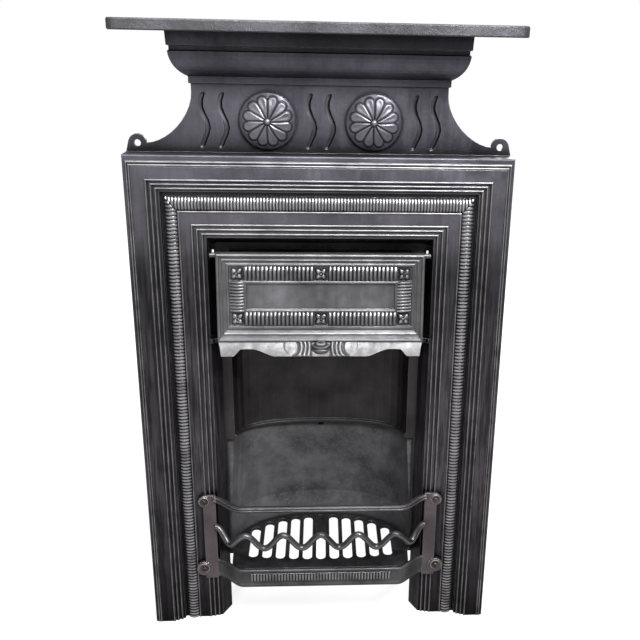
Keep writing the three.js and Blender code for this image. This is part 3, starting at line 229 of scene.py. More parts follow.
def add_lamp(name, place, target, size, power):
    """Square area lamp that faces its target."""
    data = bpy.data.lights.new(name, "AREA")
    data.energy = power
    data.size = size
    lamp = bpy.data.objects.new(name, data)
    lamp.location = place
    lamp.rotation_euler = (Vector(target) - Vector(place)).to_track_quat("-Z", "Y").to_euler()
    bpy.context.collection.objects.link(lamp)


def seen_white(tree):
    """1 for the camera and through clear things, GLOSSY_SHARE for reflections, 0 for all other light."""
    path = tree.nodes.new("ShaderNodeLightPath")
    share = tree.nodes.new("ShaderNodeMath")
    share.operation = "MULTIPLY"
    share.inputs[1].default_value = GLOSSY_SHARE
    tree.links.new(path.outputs["Is Glossy Ray"], share.inputs[0])
    seen = share.outputs[0]
    for other in ("Is Transmission Ray", "Is Camera Ray"):
        either = tree.nodes.new("ShaderNodeMath")
        either.operation = "MAXIMUM"
        tree.links.new(seen, either.inputs[0])
        tree.links.new(path.outputs[other], either.inputs[1])
        seen = either.outputs[0]
    return seen


def add_world():
    """Dim sky that is lighter overhead, and plain white where it is seen."""
    world = bpy.data.worlds.new("studio")
    bpy.context.scene.world = world
    world.use_nodes = True
    tree = world.node_tree
    tree.nodes.clear()
    output = tree.nodes.new("ShaderNodeOutputWorld")
    dim = tree.nodes.new("ShaderNodeBackground")
    dim.inputs["Strength"].default_value = WORLD_STRENGTH
    place = tree.nodes.new("ShaderNodeTexCoord")
    split = tree.nodes.new("ShaderNodeSeparateXYZ")
    tree.links.new(place.outputs["Generated"], split.inputs[0])
    sky = tree.nodes.new("ShaderNodeValToRGB")
    low, high = sky.color_ramp.elements
    low.position = 0.0
    low.color = (0.05, 0.045, 0.045, 1)
    high.position = 0.75
    high.color = (0.9, 0.93, 1.0, 1)
    tree.links.new(split.outputs["Z"], sky.inputs[0])
    tree.links.new(sky.outputs[0], dim.inputs["Color"])
    white = tree.nodes.new("ShaderNodeBackground")
    white.inputs["Color"].default_value = (1, 1, 1, 1)
    white.inputs["Strength"].default_value = 1.0
    mix = tree.nodes.new("ShaderNodeMixShader")
    tree.links.new(seen_white(tree), mix.inputs[0])
    tree.links.new(dim.outputs[0], mix.inputs[1])
    tree.links.new(white.outputs[0], mix.inputs[2])
    tree.links.new(mix.outputs[0], output.inputs["Surface"])


def add_floor():
    """Grey floor that takes the shadow, and glows to white further out where it is seen."""
    half = FLOOR_HALF
    mesh = bpy.data.meshes.new("floor")
    corners = [(-half, -half, 0), (half, -half, 0), (half, half, 0), (-half, half, 0)]
    mesh.from_pydata(corners, [], [(0, 1, 2, 3)])
    floor = bpy.data.objects.new("floor", mesh)
    floor.location = (0, 0, -FLOOR_DROP)
    bpy.context.collection.objects.link(floor)
    material = bpy.data.materials.new("floor")
    material.use_nodes = True
    tree = material.node_tree
    tree.nodes.clear()
    output = tree.nodes.new("ShaderNodeOutputMaterial")
    matt = tree.nodes.new("ShaderNodeBsdfDiffuse")
    matt.inputs["Color"].default_value = FLOOR_GREY
    glow = tree.nodes.new("ShaderNodeEmission")
    place = tree.nodes.new("ShaderNodeTexCoord")
    away = tree.nodes.new("ShaderNodeVectorMath")
    away.operation = "LENGTH"
    tree.links.new(place.outputs["Object"], away.inputs[0])
    fade = tree.nodes.new("ShaderNodeMapRange")
    for name, value in (("From Min", 0.5), ("From Max", 1.5), ("To Min", 0.84), ("To Max", 1.0)):
        fade.inputs[name].default_value = value
    tree.links.new(away.outputs["Value"], fade.inputs["Value"])
    tree.links.new(fade.outputs[0], glow.inputs["Strength"])
    add = tree.nodes.new("ShaderNodeAddShader")
    mix = tree.nodes.new("ShaderNodeMixShader")
    tree.links.new(matt.outputs[0], add.inputs[0])
    tree.links.new(glow.outputs[0], add.inputs[1])
    tree.links.new(seen_white(tree), mix.inputs[0])
    tree.links.new(matt.outputs[0], mix.inputs[1])
    tree.links.new(add.outputs[0], mix.inputs[2])
    tree.links.new(mix.outputs[0], output.inputs["Surface"])
    mesh.materials.append(material)


# ---- Materials ----

class Shader:
    """A Principled material with short calls for the nodes that feed it."""

    def __init__(self, name, roughness, metallic):
        self.material = bpy.data.materials.new(name)
        self.material.use_nodes = True
        self.tree = self.material.node_tree
        self.shader = self.tree.nodes["Principled BSDF"]
        self.shader.inputs["Metallic"].default_value = metallic
        self.shader.inputs["Roughness"].default_value = roughness
        self.place = self.tree.nodes.new("ShaderNodeTexCoord").outputs["Object"]
        self.normal = None

    def new(self, kind, **settings):
        node = self.tree.nodes.new(kind)
        for key, value in settings.items():
            setattr(node, key, value)
        return node

    def link(self, source, target):
        self.tree.links.new(source, target)

    def stretched(self, x, y, z):
        node = self.new("ShaderNodeMapping")
        node.inputs["Scale"].default_value = (x, y, z)
        self.link(self.place, node.inputs["Vector"])
        return node.outputs[0]

    def noise(self, scale, detail=3.0, rough=0.55, place=None):
        node = self.new("ShaderNodeTexNoise")
        node.inputs["Scale"].default_value = scale
        node.inputs["Detail"].default_value = detail
        node.inputs["Roughness"].default_value = rough
        self.link(place or self.place, node.inputs["Vector"])
        return node.outputs["Fac"]

    def across_and_up(self):
        """Distance from the middle to either side, and height, in metres."""
        split = self.new("ShaderNodeSeparateXYZ")
        self.link(self.place, split.inputs[0])
        return self.maths("ABSOLUTE", split.outputs["X"], 0.0), split.outputs["Z"]

    def ramp(self, value, *stops):
        """Each stop is a position with a colour, or with a number for a grey."""
        node = self.new("ShaderNodeValToRGB")
        elements = node.color_ramp.elements
        while len(elements) < len(stops):
            elements.new(0.5)
        for element, (position, colour) in zip(elements, stops):
            element.position = position
            element.color = (*colour, 1) if isinstance(colour, tuple) else (colour, colour, colour, 1)
        self.link(value, node.inputs[0])
        return node.outputs[0]

    def mix(self, share, one, two, blend="MIX"):
        node = self.new("ShaderNodeMix", data_type="RGBA", blend_type=blend)
        sockets = (node.inputs["Factor"], node.inputs["A"], node.inputs["B"])
        for value, socket in zip((share, one, two), sockets):
            if isinstance(value, bpy.types.NodeSocket):
                self.link(value, socket)
            elif isinstance(value, tuple):
                socket.default_value = (*value, 1)
            else:
                socket.default_value = value
        return node.outputs["Result"]

    def shaded(self, colour, shade):
        """The colour times the shade."""
        return self.mix(1.0, colour, shade, "MULTIPLY")

    def maths(self, operation, one, two, clamp=False):
        node = self.new("ShaderNodeMath", operation=operation, use_clamp=clamp)
        for value, socket in ((one, node.inputs[0]), (two, node.inputs[1])):
            if isinstance(value, bpy.types.NodeSocket):
                self.link(value, socket)
            else:
                socket.default_value = value
        return node.outputs[0]

    def rounded(self, radius, samples):
        """Normal of the surface as if its edges were rounded."""
        bevel = self.new("ShaderNodeBevel", samples=samples)
        bevel.inputs["Radius"].default_value = radius
        self.normal = bevel.outputs[0]

    def edges(self):
        """1 along sharp edges, 0 on open surfaces."""
        geometry = self.new("ShaderNodeNewGeometry")
        dot = self.new("ShaderNodeVectorMath", operation="DOT_PRODUCT")
        self.link(self.normal, dot.inputs[0])
        self.link(geometry.outputs["True Normal"], dot.inputs[1])
        off = self.maths("SUBTRACT", 1.0, dot.outputs["Value"])
        return self.maths("MULTIPLY", off, 5.0, clamp=True)

    def hollows(self, distance):
        """0 deep in recesses, 1 in the open."""
        node = self.new("ShaderNodeAmbientOcclusion", samples=4)
        node.inputs["Distance"].default_value = distance
        return node.outputs["AO"]

    def bump(self, *layers):
        """Layers of (height, distance in metres, strength), one on the other."""
        normal = self.normal
        for height, distance, strength in layers:
            node = self.new("ShaderNodeBump")
            node.inputs["Distance"].default_value = distance
            node.inputs["Strength"].default_value = strength
            self.link(height, node.inputs["Height"])
            if normal:
                self.link(normal, node.inputs["Normal"])
            normal = node.outputs[0]
        self.link(normal, self.shader.inputs["Normal"])

    def finish(self, colour, roughness=None):
        self.link(colour, self.shader.inputs["Base Color"])
        if roughness:
            self.link(roughness, self.shader.inputs["Roughness"])
        return self.material


def paint_shade_by_height(s, colour):
    """Paints shade and light into the surround's colour by height and darker towards its outer sides, with
    run-down scoring below the opening's top that paints the jambs darker too.
    """
    across, up = s.across_and_up()
    colour = s.shaded(colour, s.ramp(up, *PAINTED_SHADE_BY_HEIGHT))
    scoring_and_shade = s.ramp(s.noise(1, 3, 0.6, s.stretched(230, 230, 11)), (0.4, 0.3), (0.56, 1.0))
    # painted shade: below the opening's top the scoring darkens the jambs almost in full, above it hardly
    low = s.ramp(up, (0.6, 0.9), (0.69, 0.1))
    colour = s.mix(low, colour, s.shaded(colour, scoring_and_shade))
    # painted shade: darker towards the outer sides
    return s.shaded(colour, s.ramp(across, (0.19, 1.0), (0.25, 0.74)))


def blacked_iron(name, dark, light, tint=(0.1, 0.08, 0.085), tint_share=0.25, roughness=0.42,
                 grain=0.00025, wear=0.5, painted_height_shade=False, painted_deep_shade=False, relief=False, warm_sides=None):
    """Cast iron under black lead: sand-cast grain, painted shade with dust in hollows, rubbed edges and
    run-down streaks.

    painted_deep_shade paints shade on what lies deep inside, painted_height_shade paints the surround's shade
    and light by height, relief takes painted shade in grooves and painted highlights with wear on ridges from
    the mesh's light_and_wear values, and warm_sides are the two colours of what lies beside the opening.
    """
    s = Shader(name, roughness, METAL)
    if not relief:
        s.rounded(EDGE_RADIUS, 6)
    clouds = s.ramp(s.noise(14, 4), (0.35, 0.0), (0.7, 1.0))
    colour = s.mix(clouds, dark, light)
    runs = s.ramp(s.noise(1, 4, 0.6, s.stretched(120, 120, 7)), (0.45, 0.0), (0.72, 1.0))
    colour = s.mix(s.maths("MULTIPLY", runs, tint_share), colour, tint)
    if painted_height_shade:
        # painted shade and light by height on the surround
        colour = paint_shade_by_height(s, colour)
    if warm_sides:
        across, _ = s.across_and_up()
        side = s.ramp(across, (0.1700, 0.0), (0.1715, 1.0))
        colour = s.mix(side, colour, s.mix(clouds, *warm_sides))
    if painted_deep_shade:
        # painted shade on what lies deep among other parts, such as under the shelf and inside the opening
        colour = s.shaded(colour, s.ramp(s.hollows(0.11), (0.55, 0.02), (0.9, 1.0)))
    # painted shade, with dust, in small hollows and grooves
    colour = s.shaded(colour, s.ramp(s.hollows(0.012), (0.35, 0.12), (0.95, 1.0)))
    if relief:
        # painted shade in the relief's grooves, and painted highlight with wear on its ridges, from
        # light_and_wear
        light_and_wear = s.new("ShaderNodeAttribute", attribute_name="light_and_wear").outputs["Fac"]
        colour = s.shaded(colour, s.ramp(light_and_wear, (0.0, 0.1), (0.55, 1.0)))
        wear_and_highlight = s.ramp(light_and_wear, (0.62, 0.0), (1.0, 1.0))
    else:
        wear_and_highlight = s.edges()
    # lightened by wear on edges, and on the relief by painted highlight too
    lightened = s.maths("MULTIPLY", wear_and_highlight, s.ramp(s.noise(45, 3), (0.3, 0.35), (0.6, 1.0)))
    colour = s.mix(s.maths("MULTIPLY", lightened, wear), colour, RUBBED_AND_HIGHLIT_IRON)
    grit = s.noise(900, 2)
    lumps = s.noise(160, 3)
    pits = s.ramp(s.noise(330, 2), (0.25, 0.0), (0.42, 1.0))
    s.bump((lumps, grain * 2.2, 0.5), (grit, grain, 0.55), (pits, grain, 0.35))
    gloss = s.mix(STREAK_GLOSS, s.noise(60, 3), runs)
    return s.finish(colour, s.ramp(gloss, (0.3, roughness - 0.08), (0.75, roughness + 0.2)))


def sooted_clay(name):
    """Speckled fire clay under soot."""
    s = Shader(name, 0.85, 0.0)
    s.rounded(0.0012, 4)
    clouds = s.ramp(s.noise(22, 5, 0.65), (0.35, (0.035, 0.034, 0.037)), (0.7, (0.12, 0.118, 0.124)))
    specks = s.ramp(s.noise(240, 3, 0.7), (0.56, 0.0), (0.68, 1.0))
    colour = s.mix(s.maths("MULTIPLY", specks, 0.45), clouds, (0.17, 0.168, 0.17))
    # painted shade in hollows
    colour = s.shaded(colour, s.ramp(s.hollows(0.03), (0.3, 0.3), (0.95, 1.0)))
    s.bump((s.noise(60, 5, 0.7), 0.0012, 0.6), (s.noise(420, 3), 0.0005, 0.7))
    return s.finish(colour)


def screw_steel(name):
    """Dull brownish steel, rubbed at its edges."""
    s = Shader(name, 0.45, 0.9)
    s.rounded(0.0005, 4)
    colour = s.ramp(s.noise(90, 4), (0.35, (0.035, 0.03, 0.03)), (0.7, (0.11, 0.095, 0.09)))
    lightened = s.maths("MULTIPLY", s.edges(), 0.6)
    colour = s.mix(lightened, colour, (0.35, 0.33, 0.32))
    s.bump((s.noise(500, 3), 0.0002, 0.5))
    return s.finish(colour)


def dress(node, material):
    """Gives a solid its material."""
    mesh = NODES[node].data
    mesh.materials.clear()
    mesh.materials.append(material)


# ---- Mesh helpers ----

def add_mesh(name, points, faces, painted_light_and_wear, material, body="casting", slot="blacked_iron"):
    """Piece of relief that rides on a body; painted_light_and_wear runs from 0 in a groove, painted shade, to
    1 on a rubbed ridge with painted highlight.
    """
    mesh = bpy.data.meshes.new(name)
    mesh.from_pydata([tuple(point) for point in points], [], faces)
    mesh.update()
    mesh.materials.append(material)
    mesh.polygons.foreach_set("use_smooth", [True] * len(mesh.polygons))
    mesh.attributes.new("light_and_wear", "FLOAT", "POINT").data.foreach_set("value", painted_light_and_wear)
    piece = bpy.data.objects.new(name, mesh)
    bpy.context.collection.objects.link(piece)
    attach(piece, body)


def grid_faces(rows, columns, closed=False):
    """Quads of a sheet of rows by columns of points; closed joins each row's end to its start."""
    faces = []
    for i in range(rows - 1):
        for j in range(columns if closed else columns - 1):
            after = (j + 1) % columns
            row, above = i * columns, (i + 1) * columns
            faces.append((row + j, row + after, above + after, above + j))
    return faces


def reed(phase):
    """Height of a rounded ridge, at a place across it."""
    return math.sqrt(abs(math.sin(math.pi * phase)))


# ---- Relief cast on the surround ----

def band_depth(share):
    """Depth of the rounded band that carries the reeds, at a share of its width."""
    return BAND_DEPTH - BAND_BULGE * (1 - (2 * share - 1) ** 2)


def reed_sheet(place, pitch, length):
    """Sheet of reeds: place(along, share) gives the ground of the band, in millimetres."""
    columns = round(length / pitch) * RIDGE_STEPS
    points, painted_light_and_wear = [], []
    for i in range(REED_ROWS):
        share = i / (REED_ROWS - 1)
        fade = min(1.0, 0.25 + 9 * share * (1 - share))
        for j in range(columns + 1):
            ridge = reed(j / RIDGE_STEPS)
            x, back, z = place(length * j / columns, share)
            points.append(at(x, back - SKIN_GAP - REED_HEIGHT * fade * ridge, z))
            # painted highlight with wear on each reed's crest, fainter towards the band's edges
            painted_light_and_wear.append(ridge ** 1.5 * (0.55 + 0.45 * fade))
    return points, grid_faces(REED_ROWS, columns + 1), painted_light_and_wear


def add_reeds(material):
    """Close reeds across the rounded band that runs up the jambs and over the opening."""
    jamb, head = REED_STARTS
    wide, tall = REED_WIDTHS
    half = OPENING_HALF + jamb
    top = OPENING_TOP + head

    def on_head(along, share):
        x = along - (half + wide)
        past = max(0.0, abs(x) - half) / wide
        real = past + (1 - past) * share
        return x, band_depth(real), top + tall * real

    add_mesh("head_reeds", *reed_sheet(on_head, HEAD_REED_PITCH, 2 * (half + wide)), material)
    for side, hand in SIDES:
        def on_jamb(along, share):
            past = max(0.0, along - top) / tall
            real = past + (1 - past) * share
            return side * (half + wide * real), band_depth(real), along

        add_mesh(f"jamb_reeds_{hand}", *reed_sheet(on_jamb, JAMB_REED_PITCH, top + tall), material)


def add_beads(material):
    """Rounded nose of each step and bead that runs up the jambs and over the opening."""
    foot_left, corner_left, corner_right, foot_right = (-1, 0), (-1, 1), (1, 1), (1, 0)
    # painted light: the beads on the jambs are set darker than those on the head
    runs = ((foot_left, corner_left, 0.82), (corner_left, corner_right, 1), (corner_right, foot_right, 0.82))
    for number, (name, jamb, head, ground) in enumerate(BEADS, 1):
        points, faces, painted_light_and_wear = [], [], []
        for start, end, painted_light in runs:
            first = len(points)
            faces += [tuple(first + corner for corner in face) for face in grid_faces(2, BEAD_POINTS)]
            for side, up in (start, end):
                for j in range(BEAD_POINTS):
                    off = -1 + 2 * j / (BEAD_POINTS - 1)
                    nose = math.sqrt(1 - off * off)
                    x = side * (OPENING_HALF + jamb + BEAD_RADIUS * off)
                    z = up * (OPENING_TOP + head + BEAD_RADIUS * off)
                    points.append(at(x, ground + 0.45 - 1.45 * nose, z))
                    # painted highlight with wear along each bead's nose
                    painted_light_and_wear.append(nose * painted_light)
        add_mesh(f"{name}_{number}", points, faces, painted_light_and_wear, material)


def dome_height(radius):
    """Height of the rosette's dome over the frieze."""
    return 8 * (1 - (radius / ROSETTE_RADIUS) ** 2.2) + 2.3


def petal_height(radius, angle):
    """Height of the rosette over the frieze: dome, twelve round-tipped petals and a rim."""
    dome = dome_height(radius)
    sector = math.radians(30)
    angle += math.radians(5) * max(0.0, 1 - radius / 30)
    off = (angle % sector) - sector / 2
    if radius < PETAL_TIP:
        inside = radius * (sector / 2 - abs(off)) - 0.25
    else:
        inside = PETAL_END - math.dist((radius * math.cos(off), radius * math.sin(off)), (PETAL_TIP, 0))
    if inside > 0:
        crown = PETAL_HEIGHT * min(1.0, inside / PETAL_EDGE) ** 0.5
        return dome + crown - 0.5 * held((inside - PETAL_EDGE) / 4)
    if radius > 30:
        return dome + min(0.6, max(0.0, -inside - 0.5) * 0.5)
    return dome


def add_rosettes(material):
    """Domed rosette with twelve petals and a round button, to each side of the frieze's middle."""
    spokes, rings = 240, 44
    button_spokes, button_rings = 32, 8
    for side, hand in SIDES:
        middle = side * ROSETTE_OFFSET

        def on_rosette(radius, angle, lift):
            x = middle + radius * math.cos(angle)
            return at(x, FRIEZE_DEPTH - lift, ROSETTE_HEIGHT + radius * math.sin(angle))

        points, painted_light_and_wear = [], []
        for i in range(rings + 1):
            radius = ROSETTE_INNER + (ROSETTE_OUTER - ROSETTE_INNER) * i / rings
            for j in range(spokes):
                angle = 2 * math.pi * j / spokes
                lift = petal_height(radius, angle)
                # painted highlight on the raised petals and painted shade on the dome between them
                painted_light_and_wear.append(min(0.66, 0.04 + (lift - dome_height(radius)) / 1.4 * 0.7))
                points.append(on_rosette(radius, angle, ROSETTE_EDGE_LIFT if i == rings else lift))
        faces = grid_faces(rings + 1, spokes, True)
        add_mesh(f"rosette_petals_{hand}", points, faces, painted_light_and_wear, material)
        points = []
        for i in range(button_rings + 1):
            slope = math.pi / 2 * i / button_rings
            radius = BUTTON_RADIUS * math.cos(slope) + 0.001
            for j in range(button_spokes):
                angle = 2 * math.pi * j / button_spokes
                points.append(on_rosette(radius, angle, BUTTON_FOOT + BUTTON_RISE * math.sin(slope)))
        faces = grid_faces(button_rings + 1, button_spokes, True)
        faces.append(tuple(range(button_rings * button_spokes, len(points))))
        add_mesh(f"rosette_button_{hand}", points, faces, [0.8] * len(points), material)


def gouge(centre):
    """Points, faces, and painted shade and highlight of a round trough in one waving groove."""
    rows, columns = 41, 11
    points, painted_light_and_wear = [], []
    for i in range(rows):
        share = (1 - math.cos(math.pi * i / (rows - 1))) / 2
        around = held(6 * math.sqrt(share * (1 - share)), 0.3)
        x = centre - GOUGE_SWING * math.sin(2 * math.pi * GOUGE_WAVES * share)
        z = ROSETTE_HEIGHT + (0.5 - share) * GOUGE_LENGTH
        for j in range(columns):
            across = -1 + 2 * j / (columns - 1)
            hollow = GOUGE_DEPTH * math.sqrt(max(0.0, 1 - across ** 2)) * around ** 1.5
            points.append(at(x + GOUGE_HALF_WIDTH * around * across, FRIEZE_DEPTH + 0.02 + hollow, z))
            # painted shade on the trough's right wall and darker towards its bottom end, with painted
            # highlight on its left rim and at its very bottom end
            right = held((across + 0.1) * 2.2)
            lightened = 0.38 if across < -0.75 or share > 0.985 else 0
            painted_light_and_wear.append((0.62 - 0.62 * right) * (1 - 0.5 * share) + lightened)
    return points, grid_faces(rows, columns), painted_light_and_wear


def add_gouges(material):
    """Round trough in each waving groove of the frieze."""
    for pair in (-1, 0, 1):
        for side, hand in SIDES:
            centre = pair * GOUGE_SPACING + side * GOUGE_OFFSET
            add_mesh(f"gouge_{pair + 2}_{hand}", *gouge(centre), material)


# ---- Relief cast on the hood ----

def on_hood(x, back, z):
    """A place in millimetres on the leaning hood, with z measured from its bottom edge."""
    return at(x, back + HOOD_LEAN * z, HOOD_BOTTOM + z)


def add_to_hood(name, points, faces, painted_light_and_wear, material):
    """Piece of relief that rides on the hood."""
    add_mesh(name, points, faces, painted_light_and_wear, material, "hood", "hood_iron")


def apron_reach(x):
    """Share of its full drop that the apron's scalloped edge reaches."""
    across = abs(x) / APRON_HALF

    def smooth(low, high):
        share = held((across - low) / (high - low))
        return share * share * (3 - 2 * share)

    return 1 - 0.4 * smooth(0.45, 0.69) * (1 - smooth(0.785, 0.885))


def apron_relief(x, down):
    """Crescents and a disc to each side of the ball, standing on the apron's face."""
    nearest, farthest = CRESCENT_SPAN
    away = math.dist((abs(x), down * 0.9), DISC_PLACE)
    fade = held((farthest - abs(x)) / 5)
    lift = 0.0
    if away < DISC_RADIUS:
        lift = 1.3 * min(1.0, (DISC_RADIUS - away) / 2.5) ** 0.5
    for radius in CRESCENT_RADII:
        gap = abs(away - radius) / CRESCENT_HALF_WIDTH
        if gap < 1 and abs(x) > nearest:
            lift = max(lift, 1.9 * fade * math.sqrt(1 - gap * gap))
    return lift


def add_apron(material):
    """Skin of the flared apron, with its relief."""
    columns, rows = 361, 25
    points, painted_light_and_wear = [], []
    for i in range(rows):
        for j in range(columns):
            x = -APRON_SKIN_HALF + 2 * APRON_SKIN_HALF * j / (columns - 1)
            share = apron_reach(x) * i / (rows - 1)
            edge = min(1.0, (rows - 1 - i) / 2.0)
            lift = APRON_LIFT + apron_relief(x, 26 * share) * edge * min(1.0, i / 2.0)
            back = -3.5 - APRON_FLARE * share ** 1.5 - lift * 0.85
            narrowed = x * (1 - APRON_NARROWING / APRON_HALF * share)
            points.append(on_hood(narrowed, back, 4 - APRON_DROP * share + lift * 0.4))
            # painted shade on the ground among the crescents and discs, painted highlight on their raised
            # tops
            on_relief = 13 < abs(x) < 45
            painted_light_and_wear.append(min(0.9, 0.2 + (lift - APRON_LIFT) * 0.5) if on_relief else 0.75)
    add_to_hood("apron_skin", points, grid_faces(rows, columns), painted_light_and_wear, material)


def add_ball(material):
    """Ball ribbed across, at the middle of the apron."""
    rows, columns = 61, 48
    wide, deep, tall = BALL_SIZE
    back, height = BALL_PLACE
    points, painted_light_and_wear = [], []
    turn = Matrix.Rotation(BALL_TILT, 3, "X")
    for i in range(rows):
        slope = math.pi * i / (rows - 1) - math.pi / 2
        rib = 1 + 0.05 * math.cos(BALL_RIBS * slope) * math.cos(slope)
        radius = max(0.002, math.cos(slope)) * rib
        for j in range(columns):
            angle = 2 * math.pi * j / columns
            place = (wide * radius * math.cos(angle), deep * radius * math.sin(angle), tall * math.sin(slope))
            spot = turn @ Vector(place)
            points.append(on_hood(spot.x, back + spot.y, height + spot.z))
            # painted highlight on each rib and painted shade between them
            painted_light_and_wear.append(0.5 + 0.45 * math.cos(BALL_RIBS * slope))
    add_to_hood("apron_ball", points, grid_faces(rows, columns, True), painted_light_and_wear, material)


def flute_band(start, end, pitch, place):
    """Points, faces, and painted highlight and wear of flutes in a row: place(along, share) gives x and z on
    the hood.
    """
    columns = round((end - start) / pitch) * RIDGE_STEPS
    points, painted_light_and_wear = [], []
    for i in range(FLUTE_ROWS):
        share = i / (FLUTE_ROWS - 1)
        bulge = 2 * min(share / 0.28, (1 - share) / 0.72) + 0.5 * math.sin(math.pi * share)
        for j in range(columns + 1):
            ridge = reed(j / RIDGE_STEPS)
            x, z = place(start + (end - start) * j / columns, share)
            points.append(on_hood(x, -0.2 - bulge - FLUTE_HEIGHT * ridge, z))
            # painted highlight with wear on each flute's crest, fainter across the band
            painted_light_and_wear.append(ridge ** 1.5 * (1 - 0.3 * share))
    return points, grid_faces(FLUTE_ROWS, columns + 1), painted_light_and_wear


def add_hood_flutes(material):
    """Rounded flutes of the hood's border, fullest a quarter of the way across the band."""
    for side, hand in SIDES:
        def on_bottom(along, share):
            return side * along, PANEL_BOTTOM - BAND_WIDTH * share

        def on_top(along, share):
            return side * along, PANEL_TOP + TOP_BAND_WIDTH - TOP_BAND_WIDTH * share

        def on_side(along, share):
            return side * (PANEL_HALF + BAND_WIDTH * share), along

        for name, start, end, pitch, place in (
            ("bottom", FLOWER_HALF, PANEL_HALF, LONG_FLUTE_PITCH, on_bottom),
            ("top", FLOWER_HALF, PANEL_HALF, LONG_FLUTE_PITCH, on_top),
            ("side", PANEL_BOTTOM, PANEL_TOP, SHORT_FLUTE_PITCH, on_side),
        ):
            add_to_hood(f"hood_flutes_{name}_{hand}", *flute_band(start, end, pitch, place), material)


def flower(x, z):
    """Points, faces, and painted highlight and shade of a four-petalled flower on the hood."""
    rings, spokes = 14, 64
    points, painted_light_and_wear = [], []
    for i in range(rings + 1):
        share = i / rings
        for j in range(spokes):
            angle = 2 * math.pi * j / spokes
            leaf = abs(math.sin(2 * angle))
            reach = FLOWER_REACH * (0.5 + 0.5 * leaf ** 0.6) * (1 + 0.12 * leaf ** 8)
            radius = 0.2 + reach * share
            groove = 1.3 * math.exp(-((share - 0.22) / 0.07) ** 2)
            lift = 3.3 * (1 - share ** 5) * (0.55 + 0.45 * leaf) - groove
            lift += 0.9 * math.exp(-(share / 0.16) ** 2)
            points.append(on_hood(x + radius * math.cos(angle), -0.4 - lift, z + radius * math.sin(angle)))
            # painted shade in the groove ring and painted highlight on the petals, brightest along each leaf
            dark = 0.5 if 0.16 < share < 0.3 else 0
            painted_light_and_wear.append(held(0.15 + 0.85 * leaf * (1 - share ** 4) - dark))
    return points, grid_faces(rings + 1, spokes, True), painted_light_and_wear


def add_hood_flowers(material):
    """Four-petalled flower in each square of the hood's border."""
    offset = PANEL_HALF + BAND_WIDTH / 2
    heights = (PANEL_BOTTOM - BAND_WIDTH / 2, PANEL_TOP + TOP_BAND_WIDTH / 2)
    for column in (-1, 0, 1):
        for level, height in enumerate(heights, 1):
            add_to_hood(f"hood_flower_{column + 2}_{level}", *flower(column * offset, height), material)


# ---- Relief cast on the bars ----

def add_to_bars(name, points, faces, painted_light_and_wear, material):
    """Piece of relief that rides on the bars."""
    add_mesh(name, points, faces, painted_light_and_wear, material, "casting", "bar_iron")


def tube(path, radii):
    """Points and faces of a tube along a path in millimetres, lying flat towards the front."""
    out = Vector((0, -1, 0))
    points = []
    for i, place in enumerate(path):
        before, after = path[max(0, i - 1)], path[min(len(path) - 1, i + 1)]
        along = Vector(after) - Vector(before)
        along.normalize()
        beside = along.cross(out).normalized()
        for j in range(TUBE_SIDES):
            angle = 2 * math.pi * j / TUBE_SIDES
            spot = Vector(place) + radii[i] * (math.cos(angle) * beside + 0.8 * math.sin(angle) * out)
            points.append(at(*spot))
    return points, grid_faces(len(path), TUBE_SIDES, True)


def add_scrolls(material):
    """C scroll round each screw on the bars' brackets."""
    count = 40
    for side, hand in SIDES:
        for name, offset, height, size in SCROLLS:
            path, radii = [], []
            for i in range(count + 1):
                share = i / count
                angle = math.radians(205 - 300 * share)
                radius = size - (size - SCROLL_INNER) * share ** 1.3
                x = side * (OPENING_HALF + offset) - side * radius * math.cos(angle)
                path.append((x, SCROLL_DEPTH, height + radius * math.sin(angle)))
                radii.append(0.35 + 0.85 * math.sin(math.pi * min(1, 0.08 + share * 0.92)) ** 0.6)
            points, faces = tube(path, radii)
            add_to_bars(f"scroll_{name}_{hand}", points, faces, [0.85] * len(points), material)


def bar_plan(share):
    """Across and back along the wavy bar's path, from its left end to its right one."""
    sweep = BARS_END - BARS_STRAIGHT
    near = BARS_FRONT + WAVE_SIZE
    turns = 24
    end = []
    for i in range(turns + 1):
        s = i / turns
        end.append((BARS_STRAIGHT + sweep * s, near + (BARS_END_BACK - near) * s * s * (3 - 2 * s)))
    path = [(-x, y) for x, y in reversed(end)] + end
    lengths = [math.dist(a, b) for a, b in zip(path, path[1:])]
    left = share * sum(lengths)
    for (x0, y0), (x1, y1), length in zip(path, path[1:], lengths):
        if left <= length:
            break
        left -= length
    part = min(1.0, left / length)
    return x0 + (x1 - x0) * part, y0 + (y1 - y0) * part


def add_wave_bar(material):
    """Rounded skin with a raised rib along the wavy bar."""
    stations, sides = WAVES * 28, 20
    path = []
    for i in range(stations + 1):
        share = 0.004 + 0.992 * i / stations
        x, back = bar_plan(share)
        wave = WAVE_SWING * math.cos(2 * math.pi * (share - 0.5) * WAVES)
        path.append(Vector((x, back, WAVE_HEIGHT + wave)))
    points, painted_light_and_wear = [], []
    for i, place in enumerate(path):
        along = (path[min(stations, i + 1)] - path[max(0, i - 1)]).normalized()
        back = Vector((0, 0, 1)).cross(along).normalized()
        top = along.cross(back)
        for j in range(sides):
            angle = 2 * math.pi * j / sides
            ridge = max(0.0, -math.cos(angle)) ** 6
            radius = WAVE_SIZE + WAVE_SKIN + WAVE_RIB * ridge
            points.append(at(*(place + radius * (math.cos(angle) * back + math.sin(angle) * top))))
            # painted highlight along the rib and on the bar's upper side
            painted_light_and_wear.append(0.35 + 0.42 * max(ridge, max(0.0, math.sin(angle)) ** 3))
    add_to_bars("wave_bar_skin", points, grid_faces(stations + 1, sides, True), painted_light_and_wear, material)


